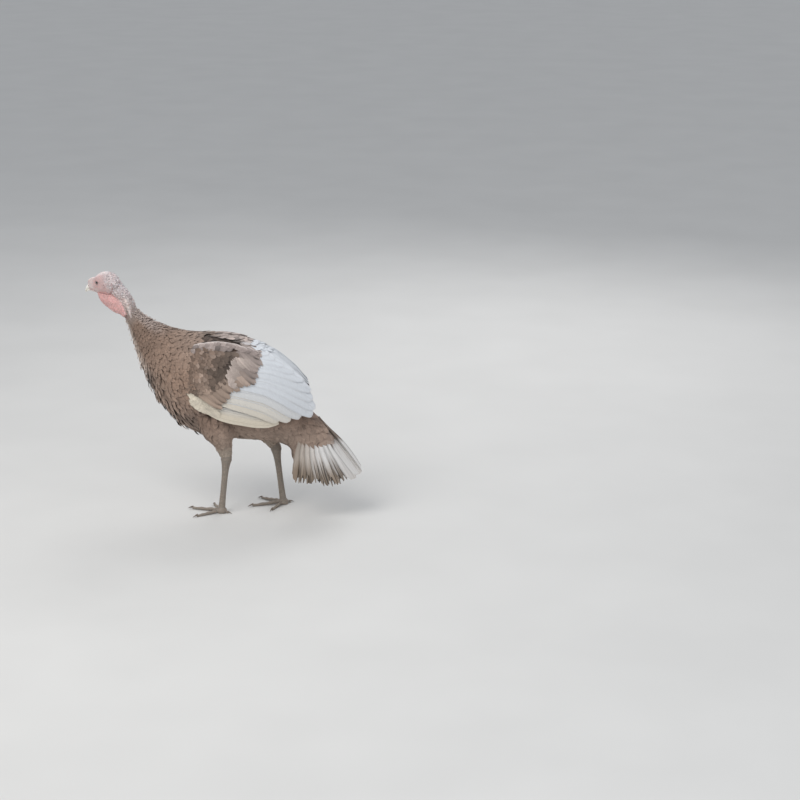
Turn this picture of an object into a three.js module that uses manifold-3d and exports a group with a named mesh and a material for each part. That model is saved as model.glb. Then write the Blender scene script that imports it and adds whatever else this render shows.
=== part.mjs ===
// A domestic turkey hen, life-size and still, standing in mid-stride with her head turned to her right.
// Millimetres, +Z up. She faces -Y, her left side is +X, and her feet rest on the floor, z = 0.
// Each form is a loft through a few named stations, or a feathered shell with one step to each quill.
import * as THREE from "three";
import { mergeVertices } from "three/addons/utils/BufferGeometryUtils.js";
import Module from "manifold-3d";

const wasm = await Module();
wasm.setup();
const { Manifold, Mesh: SolidMesh } = wasm;

const GAP = 0.3; // between pieces that touch
const V = (x, y, z) => new THREE.Vector3(x, y, z);

// ---- driving sizes -------------------------------------------------------------------------------

// The neck and trunk, from the skull to the rump. Each station is a slice from a point on the back to
// one on the throat, breast or belly, both [y, z], with half the width between them, the sideways place
// of its middle and its turn to her right in degrees.
const BODY = [
  { at: "in the skull", back: [-340, 602], front: [-374, 577], half: 16, side: -5, turn: 24 },
  { at: "nape", back: [-318, 579], front: [-354, 554], half: 17, side: -4, turn: 15 },
  { at: "bare neck", back: [-305, 553], front: [-340, 530], half: 17.5, side: -2, turn: 6 },
  { at: "collar", back: [-297, 534], front: [-327, 507], half: 19, side: 0, turn: 0 },
  { at: "mid neck", back: [-274, 513], front: [-317, 482], half: 24.5, side: 0, turn: 0 },
  { at: "low neck", back: [-241, 496], front: [-309, 454], half: 34, side: 0, turn: 0 },
  { at: "neck base", back: [-200, 483], front: [-299, 418], half: 47, side: 0, turn: 0 },
  { at: "crop", back: [-155, 475], front: [-285, 378], half: 62, side: 0, turn: 0 },
  { at: "shoulders", back: [-105, 474], front: [-263, 328], half: 77, side: 0, turn: 0 },
  { at: "breast", back: [-55, 473], front: [-232, 277], half: 86, side: 0, turn: 0 },
  { at: "keel", back: [-5, 453], front: [-188, 231], half: 90, side: 0, turn: 0 },
  { at: "flanks", back: [42, 423], front: [-124, 204], half: 88, side: 0, turn: 0 },
  { at: "thighs", back: [84, 390], front: [-52, 196], half: 79, side: 0, turn: 0 },
  { at: "belly", back: [116, 352], front: [15, 193], half: 66, side: 0, turn: 0 },
  { at: "vent", back: [139, 314], front: [72, 188], half: 51, side: 0, turn: 0 },
  { at: "rump", back: [158, 280], front: [106, 172], half: 38, side: 0, turn: 0 },
];
const NECK_CUT = 6.4; // stations before it are the neck, and those after it the trunk
const BARE_CUT = 3.1; // the feathers start here, and the neck above is bare

// The coverts round the root of the tail, above and below it.
const COVERTS = [
  { back: [160, 284], front: [107, 170], half: 37 },
  { back: [190, 250], front: [113, 143], half: 41 },
  { back: [213, 222], front: [121, 119], half: 41 },
  { back: [226, 200], front: [137, 106], half: 30 },
];

// The head, in its own frame: f forward from between the eyes, u up. Stations run from bill to nape.
const HEAD_AT = V(-24, -394, 599);
const HEAD_TURN = 30; // degrees to her right
const HEAD_DROP = 12; // degrees nose down
const HEAD = [
  { f: 45, top: 0, bottom: -21, half: 8 },
  { f: 36, top: 6, bottom: -24.5, half: 10.4 },
  { f: 25, top: 11.5, bottom: -28, half: 13.4 },
  { f: 13, top: 17, bottom: -31, half: 15.8 },
  { f: -1, top: 22, bottom: -33.5, half: 17.4 },
  { f: -15, top: 24.5, bottom: -36, half: 18.8 },
  { f: -30, top: 23, bottom: -37, half: 19.2 },
  { f: -44, top: 17.5, bottom: -34, half: 17.6 },
  { f: -54, top: 8, bottom: -28, half: 13.4 },
  { f: -60, top: -4, bottom: -20, half: 7 },
];
const EYE = { f: 3, u: -1, radius: 7.4, depth: 5.2 };
const EAR = { f: -25, u: -10, radius: 5.6, raised: 1.9 };
const UPPER_BILL = [
  { f: 45.3, top: -1.4, bottom: -15.8, half: 7.4 },
  { f: 53, top: -4, bottom: -16.6, half: 6.4 },
  { f: 60.5, top: -8.6, bottom: -18.4, half: 4.8 },
  { f: 66, top: -14.4, bottom: -21, half: 2.8 },
  { f: 69.4, top: -20.4, bottom: -24.4, half: 0.9 },
];
const LOWER_BILL = [
  { f: 45.3, top: -16.2, bottom: -21.4, half: 6.6 },
  { f: 52, top: -17, bottom: -21.6, half: 5.6 },
  { f: 59.5, top: -18.9, bottom: -22.4, half: 3.8 },
  { f: 64, top: -21, bottom: -23, half: 1.4 },
];
const SNOOD = { f: 41, u: 5.2, long: 8.4, wide: 4.6, tall: 5.4 };
// The fold of bare skin from chin to neck: its free edge, its root, both [f, u], and half its width.
const WATTLE = [
  { edge: [25, -27], root: [2, -24], half: 6 },
  { edge: [20, -46], root: [-26, -30], half: 9 },
  { edge: [5, -63], root: [-45, -42], half: 10.5 },
  { edge: [-13, -76], root: [-57, -56], half: 10 },
  { edge: [-29, -85.5], root: [-63, -70], half: 8.5 },
  { edge: [-46, -92], root: [-67, -82], half: 6.2 },
  { edge: [-57, -100], root: [-70, -94], half: 3.8 },
];

// The folded wing, seen from her side, in [y, z]. Its pieces share their edges.
const ARM_FRONT = [[-145, 345], [-158, 368], [-152, 397], [-140, 424], [-122, 450]];
const ARM_REAR = [[-55, 301], [-38, 327], [-6, 356], [28, 374], [42, 402], [42, 426], [30, 446]];
const QUILL_TIPS = [
  [90, 267], [118, 267], [144, 275], [173, 277], [181, 295], [174, 318],
  [168, 340], [146, 368], [120, 390], [95, 408], [72, 425], [56, 435],
];
const HAND_LOW = [
  [-158, 340], [-128, 303], [-94, 287], [-60, 271], [-30, 262], [3, 257], [35, 251], [64, 251], [91, 259],
];
const HAND_HIGH = [
  [-146, 349], [-127, 321], [-103, 310], [-72, 302], [-40, 297], [-5, 290], [34, 281], [66, 274],
  [93, 266.5],
];
const SECONDARIES = 12;
const PRIMARIES = 4; // the ones that show below the rest
// The wing's outer surface: along y, its greatest distance from the middle, its top and its bottom.
const WING_AT = [-165, -120, -60, 0, 60, 105, 151, 181, 200];
const WING_OUT = [70, 90, 102, 102, 90, 75, 54, 40, 33];
const WING_TOP = [468, 474, 470, 456, 435, 402, 364, 331, 303];
const WING_LOW = [172, 170, 170, 170, 176, 196, 216, 232, 244];

// The tail: a fan of quills hung from the rump, folded like a low roof.
const TAIL_ROOT = V(0, 161, 277);
const TAIL_FALL = 49.5; // degrees that the middle quills point below level
const TAIL_QUILLS = 16;
const TAIL_SPREAD = 54; // degrees to the outermost quill, each side
const TAIL_ROOF = [34, 62]; // degrees that each half of the fan slopes, beside the middle and at the edge
const TAIL_LENGTH = 212;
const TAIL_SHORTER = 20; // the outermost quill against the middle one

// Each leg: the knee, inside the coat, the hock, and the middle of the foot on the floor.
const LEGS = {
  left: { knee: V(52, -80, 262), hock: V(48, -56, 155), foot: V(47, -73, 0), turn: 11 },
  right: { knee: V(-52, -26, 262), hock: V(-48, 56, 160), foot: V(-46, 74, 0), turn: -25 },
};
const PAD = { radius: 14.6, tall: 14 };
const TOES = {
  inner: { angle: 48, long: 62, radius: 4.6, claw: 12 },
  middle: { angle: 0, long: 84, radius: 5, claw: 13 },
  outer: { angle: -50, long: 72, radius: 4.6, claw: 12 },
};
const HIND_TOE = { angle: -172, long: 21, radius: 3.8, claw: 10, height: 8 };

// ---- shapes --------------------------------------------------------------------------------------

function solidOf(geometry) {
  const bare = geometry.clone();
  bare.deleteAttribute("normal");
  bare.deleteAttribute("uv");
  const merged = mergeVertices(bare, 1e-4);
  const faces = [];
  const index = merged.index.array;
  for (let i = 0; i < index.length; i += 3) {
    const [a, b, c] = index.slice(i, i + 3);
    if (a !== b && b !== c && c !== a) faces.push(a, b, c);
  }
  return new Manifold(
    new SolidMesh({
      numProp: 3,
      vertProperties: new Float32Array(merged.attributes.position.array),
      triVerts: new Uint32Array(faces),
    }),
  );
}

// The largest piece of a solid, as a geometry.
function geometryOf(solid) {
  const piece = solid.decompose().reduce((a, b) => (b.volume() > a.volume() ? b : a));
  const mesh = piece.getMesh();
  return new THREE.BufferGeometry()
    .setAttribute("position", new THREE.BufferAttribute(mesh.vertProperties, 3))
    .setIndex(new THREE.BufferAttribute(mesh.triVerts, 1));
}

// A solid with the gap round it, as a cutter for the pieces beside it.
function roomRound(solid) {
  const moves = [[1, 0, 0], [-1, 0, 0], [0, 1, 0], [0, -1, 0], [0, 0, 1], [0, 0, -1]];
  return Manifold.union(moves.map((move) => solid.translate(move.map((v) => v * GAP))));
}

// A closed surface through rings of equally many points, with a middle point at each end.
function loft(rings) {
  const around = rings[0].length;
  const middle = (ring) => ring.reduce((sum, p) => sum.add(p), V(0, 0, 0)).divideScalar(around);
  const points = [...rings.flat(), middle(rings[0]), middle(rings.at(-1))];
  const first = rings.length * around;
  const faces = [];
  for (let i = 0; i < around; i++) {
    const next = (i + 1) % around;
    for (let r = 0; r + 1 < rings.length; r++) {
      const [a, b] = [r * around + i, r * around + next];
      faces.push(a, b, a + around, b, b + around, a + around);
    }
    const last = (rings.length - 1) * around;
    faces.push(first, next, i, first + 1, last + i, last + next);
  }
  return facingOut(points, faces);
}

// A closed shell between two grids of points, outer and inner.
function shell(outer, inner) {
  const [rows, columns] = [outer.length, outer[0].length];
  const points = [...outer.flat(), ...inner.flat()];
  const under = rows * columns;
  const faces = [];
  const quad = (a, b, c, d) => faces.push(a, b, c, a, c, d);
  for (let r = 0; r + 1 < rows; r++)
    for (let c = 0; c + 1 < columns; c++) {
      const [a, b] = [r * columns + c, (r + 1) * columns + c];
      quad(a, a + 1, b + 1, b);
      quad(b + under, b + 1 + under, a + 1 + under, a + under);
    }
  const rim = (a, b) => quad(a, b, b + under, a + under);
  for (let r = 0; r + 1 < rows; r++) {
    rim(r * columns, (r + 1) * columns);
    rim((r + 2) * columns - 1, (r + 1) * columns - 1);
  }
  for (let c = 0; c + 1 < columns; c++) {
    rim(c + 1, c);
    rim((rows - 1) * columns + c, (rows - 1) * columns + c + 1);
  }
  return facingOut(points, faces);
}

function facingOut(points, faces) {
  let volume = 0;
  for (let i = 0; i < faces.length; i += 3)
    volume += points[faces[i]].dot(points[faces[i + 1]].clone().cross(points[faces[i + 2]]));
  if (volume < 0) faces.reverse();
  const geometry = new THREE.BufferGeometry().setFromPoints(points);
  return geometry.setIndex(faces);
}

// A smooth run through numbers or [a, b] pairs, one at each whole value of t.
function track(values) {
  const points = values.map((v) => (Array.isArray(v) ? V(v[0], v[1], 0) : V(v, 0, 0)));
  const curve = new THREE.CatmullRomCurve3(points, false, "catmullrom", 0.5);
  return (t) => curve.getPoint(THREE.MathUtils.clamp(t / (values.length - 1), 0, 1));
}

// A ring about a middle, with a half width to the sides and a half height along up; narrower below by keel.
function ring(middle, side, up, half, tall, count, keel = 0, power = 2) {
  const points = [];
  for (let i = 0; i < count; i++) {
    const angle = (i / count) * 2 * Math.PI;
    const [s, c] = [Math.sin(angle), Math.cos(angle)];
    const bulge = (x) => Math.sign(x) * Math.abs(x) ** (2 / power);
    const width = half * (1 - keel * Math.max(0, -c) ** 2);
    const point = middle.clone().addScaledVector(side, bulge(s) * width);
    points.push(point.addScaledVector(up, bulge(c) * tall));
  }
  return points;
}

// ---- neck, trunk and coverts ---------------------------------------------------------------------

function slices(stations, from, to, steps, count, grow = 0, keel = 0) {
  const back = track(stations.map((s) => s.back));
  const front = track(stations.map((s) => s.front));
  const half = track(stations.map((s) => [s.half, s.side ?? 0]));
  const turned = track(stations.map((s) => s.turn ?? 0));
  return Array.from({ length: steps + 1 }, (_, i) => {
    const t = from + ((to - from) * i) / steps;
    const [b, f, h] = [back(t), front(t), half(t)];
    const middle = V(h.y, (b.x + f.x) / 2, (b.y + f.y) / 2);
    const up = V(0, b.x - f.x, b.y - f.y);
    const tall = up.length() / 2 + grow;
    const yaw = -THREE.MathUtils.degToRad(turned(t).x);
    const side = V(1, 0, 0).applyAxisAngle(V(0, 0, 1), yaw);
    up.normalize().applyAxisAngle(V(0, 0, 1), yaw);
    const narrow = keel * THREE.MathUtils.smoothstep(t, 4, 9);
    return ring(middle, side, up, h.x + grow, tall, count, narrow, 2.15);
  });
}

const LAST = BODY.length - 1;
const CUT_STEP = 0.012; // stations, to leave the gap at a cut
const trunkLoft = (grow) => loft(slices(BODY, NECK_CUT + CUT_STEP, LAST, 15, 22, grow, 0.16));
const neckLoft = loft(slices(BODY, BARE_CUT + CUT_STEP, NECK_CUT, 5, 18, 0, 0.16));
const bareNeckLoft = loft(slices(BODY, 0, BARE_CUT, 5, 16));
const covertLoft = (grow) => loft(slices(COVERTS, 0, COVERTS.length - 1, 5, 18, grow));

// ---- head ----------------------------------------------------------------------------------------

const turn = THREE.MathUtils.degToRad(HEAD_TURN);
const drop = THREE.MathUtils.degToRad(HEAD_DROP);
const level = V(-Math.sin(turn), -Math.cos(turn), 0);
const forward = level.clone().multiplyScalar(Math.cos(drop)).add(V(0, 0, -Math.sin(drop)));
const upward = level.clone().multiplyScalar(Math.sin(drop)).add(V(0, 0, Math.cos(drop)));
const leftward = V(0, 0, 1).cross(level);
const onHead = (f, u, side = 0) =>
  HEAD_AT.clone().addScaledVector(forward, f).addScaledVector(upward, u).addScaledVector(leftward, side);

function headLoft(stations, steps, count, grow = 0, power = 2.1) {
  const place = track(stations.map((s) => [s.f, s.half]));
  const reach = track(stations.map((s) => [s.top, s.bottom]));
  const rings = Array.from({ length: steps + 1 }, (_, i) => {
    const t = ((stations.length - 1) * i) / steps;
    const [p, r] = [place(t), reach(t)];
    const middle = onHead(p.x, (r.x + r.y) / 2);
    return ring(middle, leftward, upward, p.y + grow, (r.x - r.y) / 2 + grow, count, 0.12, power);
  });
  return loft(rings);
}

function wattleLoft() {
  const edge = track(WATTLE.map((w) => w.edge));
  const root = track(WATTLE.map((w) => w.root));
  const half = track(WATTLE.map((w) => w.half));
  const rings = Array.from({ length: 8 }, (_, i) => {
    const t = ((WATTLE.length - 1) * i) / 7;
    const [e, r] = [onHead(edge(t).x, edge(t).y), onHead(root(t).x, root(t).y)];
    const out = e.clone().sub(r);
    const tall = out.length() / 2;
    return ring(e.clone().add(r).multiplyScalar(0.5), leftward, out.normalize(), half(t).x, tall, 10);
  });
  return loft(rings);
}

// A round lump whose radii lie along the head's own axes.
function lump(middle, long, tall, wide, detail) {
  const geometry = new THREE.SphereGeometry(1, detail, Math.round(detail * 0.6));
  const axes = new THREE.Matrix4().makeBasis(forward, upward, leftward.clone().negate());
  return geometry.scale(long, tall, wide).applyMatrix4(axes).translate(...middle.toArray());
}

// Half the head's width where a station at f stands.
function headHalf(f) {
  const i = HEAD.findIndex((s) => s.f <= f);
  const [a, b] = [HEAD[i - 1], HEAD[i]];
  return THREE.MathUtils.mapLinear(f, a.f, b.f, a.half, b.half);
}

// ---- wings ---------------------------------------------------------------------------------------

// A smooth run of the wing's values along y.
function wingRun(values) {
  const run = track(values);
  const last = WING_AT.length - 1;
  return (y) => {
    const next = WING_AT.findIndex((at) => at > y);
    const i = next < 0 ? last : Math.max(next, 1);
    const share = THREE.MathUtils.clamp((y - WING_AT[i - 1]) / (WING_AT[i] - WING_AT[i - 1]), 0, 1);
    return run(i - 1 + share).x;
  };
}
const [wingOut, wingTop, wingLow] = [WING_OUT, WING_TOP, WING_LOW].map(wingRun);

function wingX(y, z) {
  const [top, low] = [wingTop(y), wingLow(y)];
  const share = Math.min(0.985, Math.abs((z - (top + low) / 2) / ((top - low) / 2)));
  return wingOut(y) * (1 - share ** 2.6) ** 0.45;
}

// A point on the wing's surface, moved out along its normal.
function onWing(y, z, out) {
  const step = 1;
  const normal = V(
    1,
    -(wingX(y + step, z) - wingX(y - step, z)) / (2 * step),
    -(wingX(y, z + step) - wingX(y, z - step)) / (2 * step),
  ).normalize();
  return V(wingX(y, z), y, z).addScaledVector(normal, out);
}

// Columns across a row of quills, three to each: its lower edge stands over the next one's upper edge.
function quillColumns(count) {
  return Array.from({ length: count * 3 }, (_, i) => {
    const across = (i % 3) / 2;
    const v = (Math.floor(i / 3) + across) / count;
    return { v, lift: 1 - across, tip: 1 - (2 * across - 1) ** 2 };
  });
}

// A shell ruled between a root edge and a tip edge, both runs of [y, z] from low to high.
function wingShell({ root, tip, columns, rows, step, scallop, thick, bulge = 0 }) {
  const [a, b] = [track(root), track(tip)];
  const grid = (out) =>
    Array.from({ length: rows + 1 }, (_, r) =>
      columns.map(({ v, lift, tip: end }) => {
        const reach = 1 - scallop * (1 - end);
        const u = (r / rows) * reach;
        const [p, q] = [a(v * (root.length - 1)), b(v * (tip.length - 1))];
        const z = THREE.MathUtils.lerp(p.y, q.y, u) + bulge * Math.sin(Math.PI * u) * v * v;
        const point = onWing(THREE.MathUtils.lerp(p.x, q.x, u), z, out(u, lift));
        point.x = Math.max(point.x, 1);
        return point;
      }),
    );
  return shell(grid((u, lift) => step(u) * lift), grid((u) => -thick(u)));
}

const smooth = (count) => Array.from({ length: count + 1 }, (_, i) => ({ v: i / count, lift: 1, tip: 1 }));
const armShell = () =>
  wingShell({
    root: ARM_FRONT, tip: ARM_REAR, columns: smooth(7), rows: 6, scallop: 0, bulge: 13,
    step: (u) => 5.5 * Math.sqrt(Math.min(1, 3 * u)), thick: (u) => 6 + 14 * Math.min(1, 2.5 * u),
  });
const secondaryShell = () =>
  wingShell({
    root: ARM_REAR.map(([y, z]) => [y + 0.8, z + 0.1]), tip: QUILL_TIPS, columns: quillColumns(SECONDARIES),
    rows: 3, scallop: 0.045, step: () => 2.2, thick: (u) => 15 - 11.5 * Math.min(1, 1.4 * u),
  });
const along = (run, t) => track(run)(t * (run.length - 1));
// The primaries lie the other way round: the shell is ruled from their lowest edge to their highest.
const primaryShell = () => {
  const length = 6;
  const grid = (out) =>
    Array.from({ length: length + 1 }, (_, r) =>
      quillColumns(PRIMARIES).map(({ v, lift, tip }) => {
        const t = (r / length) * (1 - 0.03 * (1 - tip));
        const [p, q] = [along(HAND_LOW, t), along(HAND_HIGH, t)];
        return onWing(THREE.MathUtils.lerp(p.x, q.x, v), THREE.MathUtils.lerp(p.y, q.y, v), out(t, lift));
      }),
    );
  return shell(grid((t, lift) => 1.4 * lift - 1), grid((t) => -4 - 8 * Math.max(0, 1 - 2 * t)));
};

// ---- tail ----------------------------------------------------------------------------------------

function tailFan() {
  const fall = THREE.MathUtils.degToRad(TAIL_FALL);
  const down = V(0, Math.cos(fall), -Math.sin(fall));
  const top = V(0, Math.sin(fall), Math.cos(fall));
  const rows = 3;
  const grid = (out) =>
    Array.from({ length: rows + 1 }, (_, r) =>
      Array.from({ length: TAIL_QUILLS * 3 }, (_, i) => {
        const across = (i % 3) / 2;
        const quillNumber = Math.floor(i / 3);
        const s = (2 * (quillNumber + across)) / TAIL_QUILLS - 1;
        const share = Math.abs(s);
        const spread = THREE.MathUtils.degToRad(TAIL_SPREAD * share);
        const roof = THREE.MathUtils.degToRad(THREE.MathUtils.lerp(...TAIL_ROOF, share));
        const outward = V(Math.sign(s) * Math.cos(roof), 0, 0).addScaledVector(top, -Math.sin(roof));
        const quill = down.clone().multiplyScalar(Math.cos(spread));
        quill.addScaledVector(outward, Math.sin(spread));
        const face = outward.clone().cross(down).multiplyScalar(Math.sign(s) || 1).normalize();
        const round = 1 - 0.05 * (2 * across - 1) ** 2;
        const reach = (TAIL_LENGTH - TAIL_SHORTER * s * s) * round * (0.14 + (0.86 * r) / rows);
        const lift = quillNumber < TAIL_QUILLS / 2 ? across : 1 - across;
        const raised = s === 0 ? top : face;
        return TAIL_ROOT.clone().addScaledVector(quill, reach).addScaledVector(raised, out(lift));
      }),
    );
  return shell(grid((lift) => 1.5 * lift), grid(() => -2.6));
}

// ---- legs ----------------------------------------------------------------------------------------

// A tapering limb along a line: each station is [share of the length, half width, half depth fore and aft].
function limb(from, to, stations, steps, count) {
  const sizes = track(stations.map(([, wide, deep]) => [wide, deep]));
  const shares = track(stations.map(([share]) => share));
  const along = to.clone().sub(from).normalize();
  const side = V(1, 0, 0).addScaledVector(along, -along.x).normalize();
  const fore = along.clone().cross(side);
  const rings = Array.from({ length: steps + 1 }, (_, i) => {
    const t = ((stations.length - 1) * i) / steps;
    const s = sizes(t);
    return ring(from.clone().lerp(to, shares(t).x), side, fore, s.x, s.y, count);
  });
  return loft(rings);
}

const THIGH = [
  [0, 40, 52], [0.3, 39, 48], [0.5, 32, 34.5], [0.62, 24.5, 24.5], [0.72, 19, 19.5], [0.84, 15.5, 17.5],
  [0.94, 13.5, 17], [1, 11.5, 14.5],
];
const SHANK = [
  [0, 10.5, 12.5], [0.05, 12, 14.5], [0.13, 9.6, 11.5], [0.3, 7, 8.6], [0.6, 6.4, 7.8], [0.85, 7.4, 8.4],
  [1, 9, 9.4],
];

// A toe lies on the floor with a flat sole: swollen over each joint, slimmer between.
function toeLoft(foot, angle, toe, joints, height) {
  const heading = V(-Math.sin(angle), -Math.cos(angle), 0);
  const side = V(0, 0, 1).cross(heading);
  const steps = 6;
  const rings = Array.from({ length: steps + 1 }, (_, i) => {
    const t = i / steps;
    const swell = 1 + 0.09 * Math.cos(2 * Math.PI * joints * t);
    const radius = toe.radius * (1 - 0.3 * t) * swell;
    const lift = radius * 0.82 + height * (1 - t) ** 1.5;
    const middle = foot.clone().addScaledVector(heading, 7 + (toe.long - 7) * t).add(V(0, 0, lift));
    return ring(middle, side, V(0, 0, 1), radius, radius * 0.96, 8).map((p) => p.setZ(Math.max(0, p.z)));
  });
  return loft(rings);
}

function clawLoft(foot, angle, toe) {
  const heading = V(-Math.sin(angle), -Math.cos(angle), 0);
  const side = V(0, 0, 1).cross(heading);
  const base = toe.radius * 0.56;
  const rings = Array.from({ length: 5 }, (_, i) => {
    const t = i / 4;
    const radius = base * (1 - 0.88 * t ** 1.3);
    const height = 0.5 + radius + base * 0.9 * Math.cos((Math.PI / 2) * t) ** 0.8;
    const middle = foot.clone().addScaledVector(heading, toe.long + GAP + toe.claw * t).setZ(height);
    return ring(middle, side, V(0, 0, 1), radius * 0.82, radius, 6);
  });
  return loft(rings);
}

function padLathe(foot, grow = 0) {
  const { radius, tall } = PAD;
  const lower = [[0, -grow], [radius - 2, -grow], [radius, 3], [radius - 0.8, 8]];
  const outline = [...lower, [radius - 4.4, tall - 0.4], [0, tall]];
  const grown = ([r, z]) => new THREE.Vector2(r === 0 ? 0 : r + grow, z + (z > 3 ? grow : 0));
  const profile = outline.map(grown);
  return new THREE.LatheGeometry(profile, 12).rotateX(Math.PI / 2).translate(foot.x, foot.y, 0);
}

// ---- colours and assembly ------------------------------------------------------------------------

const finish = (color, roughness) => new THREE.MeshStandardMaterial({ color, roughness, metalness: 0 });
const MATERIALS = {
  buff: finish(0xa08570, 0.85),
  white: finish(0xe4e2de, 0.8),
  cream: finish(0xdccfb4, 0.8),
  skin: finish(0xd9a9a4, 0.6),
  wattle: finish(0xdb8f8d, 0.55),
  horn: finish(0xd8d2c2, 0.4),
  eye: finish(0x1c120e, 0.1),
  leg: finish(0x9b8a78, 0.6),
  claw: finish(0x6f6254, 0.45),
};

const turkey = new THREE.Group();
function add(name, geometry, material) {
  const mesh = new THREE.Mesh(geometry, MATERIALS[material]);
  mesh.name = name;
  turkey.add(mesh);
}

const trunkSolid = solidOf(trunkLoft(0));
const trunkRoom = solidOf(trunkLoft(GAP));
const covertRoom = solidOf(covertLoft(GAP));
const neckRoom = solidOf(loft(slices(BODY, 0, BARE_CUT, 5, 16, GAP)));

const sides = { left: 1, right: -1 };
let headSolid = solidOf(headLoft(HEAD, 11, 18));
const headRoom = solidOf(headLoft(HEAD, 11, 18, GAP));
const upperBill = solidOf(headLoft(UPPER_BILL, 6, 10, 0, 1.9));
for (const [side, sign] of Object.entries(sides)) {
  const eye = onHead(EYE.f, EYE.u, sign * (headHalf(EYE.f) - EYE.depth));
  const ball = (grow) => new THREE.SphereGeometry(EYE.radius + grow, 12, 8).translate(...eye.toArray());
  headSolid = headSolid.subtract(solidOf(ball(GAP)));
  add(`eye_${side}`, ball(0), "eye");
  const earPlace = onHead(EAR.f, EAR.u, sign * (headHalf(EAR.f) - 0.6));
  const ear = lump(earPlace, EAR.radius, EAR.radius * 0.85, EAR.raised, 10);
  add(`ear_${side}`, geometryOf(solidOf(ear).subtract(headRoom)), "skin");
}
add("head", geometryOf(headSolid), "skin");
add("bill_upper", geometryOf(upperBill), "horn");
add("bill_lower", headLoft(LOWER_BILL, 4, 8, 0, 1.9), "horn");
const snood = solidOf(lump(onHead(SNOOD.f, SNOOD.u), SNOOD.long, SNOOD.tall, SNOOD.wide, 10));
const billRoom = solidOf(headLoft(UPPER_BILL, 6, 10, GAP, 1.9));
add("snood", geometryOf(snood.subtract(headRoom).subtract(billRoom)), "wattle");
add("wattle", geometryOf(solidOf(wattleLoft()).subtract(headRoom).subtract(neckRoom)), "wattle");
add("neck_bare", geometryOf(solidOf(bareNeckLoft).subtract(headRoom)), "skin");
add("neck", neckLoft, "buff");
add("trunk", geometryOf(trunkSolid.subtract(covertRoom)), "buff");
add("tail_coverts", covertLoft(0), "buff");
add("tail", geometryOf(solidOf(tailFan()).subtract(covertRoom).subtract(trunkRoom)), "white");

const bodyRoom = Manifold.union([trunkRoom, covertRoom]);
const arm = solidOf(armShell()).subtract(bodyRoom);
const armRoom = roomRound(arm);
const secondaries = solidOf(secondaryShell()).subtract(bodyRoom).subtract(armRoom);
const coverRoom = Manifold.union([armRoom, roomRound(secondaries)]);
const primaries = solidOf(primaryShell()).subtract(bodyRoom).subtract(coverRoom);
const wingPieces = {
  arm: [arm, "buff"],
  secondaries: [secondaries, "white"],
  primaries: [primaries, "cream"],
};
const onSide = (solid, sign) => (sign > 0 ? solid : solid.mirror([1, 0, 0]));
for (const [side, sign] of Object.entries(sides))
  for (const [piece, [solid, material]] of Object.entries(wingPieces))
    add(`wing_${side}_${piece}`, geometryOf(onSide(solid, sign)), material);
const wingRoom = roomRound(Manifold.union([arm, secondaries, primaries]));

for (const [side, sign] of Object.entries(sides)) {
  const { knee, hock, foot, turn: footTurn } = LEGS[side];
  const ankle = foot.clone().setZ(PAD.tall + GAP);
  const shank = solidOf(limb(hock, ankle, SHANK, 9, 10));
  const wider = SHANK.map(([share, wide, deep]) => [share, wide + GAP, deep + GAP]);
  const ankleRoom = solidOf(limb(hock, ankle, wider, 9, 10));
  const thigh = solidOf(limb(knee, hock, THIGH, 8, 14)).subtract(trunkRoom).subtract(ankleRoom);
  const floorCut = solidOf(new THREE.BoxGeometry(60, 60, 40).translate(foot.x, foot.y, ankle.z - 20));
  add(`thigh_${side}`, geometryOf(thigh.subtract(onSide(wingRoom, sign))), "buff");
  add(`shank_${side}`, geometryOf(shank.subtract(floorCut)), "leg");
  add(`foot_${side}`, padLathe(foot), "leg");
  const footRoom = Manifold.union([solidOf(padLathe(foot, GAP)), ankleRoom]);
  for (const [name, toe] of Object.entries({ ...TOES, hind: HIND_TOE })) {
    const angle = THREE.MathUtils.degToRad(footTurn + sign * toe.angle);
    const joints = { inner: 2, middle: 3, outer: 4, hind: 1 }[name];
    const loftOfToe = toeLoft(foot, angle, toe, joints, toe.height ?? 3);
    add(`toe_${side}_${name}`, geometryOf(solidOf(loftOfToe).subtract(footRoom)), "leg");
    add(`claw_${side}_${name}`, clawLoft(foot, angle, toe), "claw");
  }
}

// The origin is on the floor, under the middle of the whole bird.
const box = new THREE.Box3().setFromObject(turkey);
const centre = box.getCenter(V(0, 0, 0));
turkey.position.set(-centre.x, -centre.y, -box.min.z);

export default turkey;
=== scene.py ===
"""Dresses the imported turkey: one skin, feathers in tracts over it, quills, scutes, bill, claws and eyes.

Sizes are in millimetres in the bird's own frame, as in the part's source: she faces -Y, her left side is +X
and the floor is z = 0. A mesh is put in metres, in the row frame, when it is made.
"""

import math

import bpy
import numpy as np
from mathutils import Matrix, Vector, noise


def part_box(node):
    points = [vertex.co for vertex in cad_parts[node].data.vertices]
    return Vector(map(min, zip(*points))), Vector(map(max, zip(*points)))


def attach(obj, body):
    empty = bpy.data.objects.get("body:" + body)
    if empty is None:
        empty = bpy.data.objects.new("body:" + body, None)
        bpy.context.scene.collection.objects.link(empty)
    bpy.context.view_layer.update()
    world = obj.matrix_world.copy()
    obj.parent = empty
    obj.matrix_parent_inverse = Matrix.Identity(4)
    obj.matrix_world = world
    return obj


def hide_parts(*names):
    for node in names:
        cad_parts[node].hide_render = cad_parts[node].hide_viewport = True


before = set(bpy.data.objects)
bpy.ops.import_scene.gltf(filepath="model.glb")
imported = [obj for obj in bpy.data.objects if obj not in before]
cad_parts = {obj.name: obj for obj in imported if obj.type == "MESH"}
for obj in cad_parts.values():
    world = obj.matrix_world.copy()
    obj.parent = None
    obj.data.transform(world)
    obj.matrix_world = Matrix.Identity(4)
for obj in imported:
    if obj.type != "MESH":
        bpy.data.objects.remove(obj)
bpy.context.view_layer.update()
scene = bpy.context.scene

MM = 0.001
SEED = 20


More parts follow.
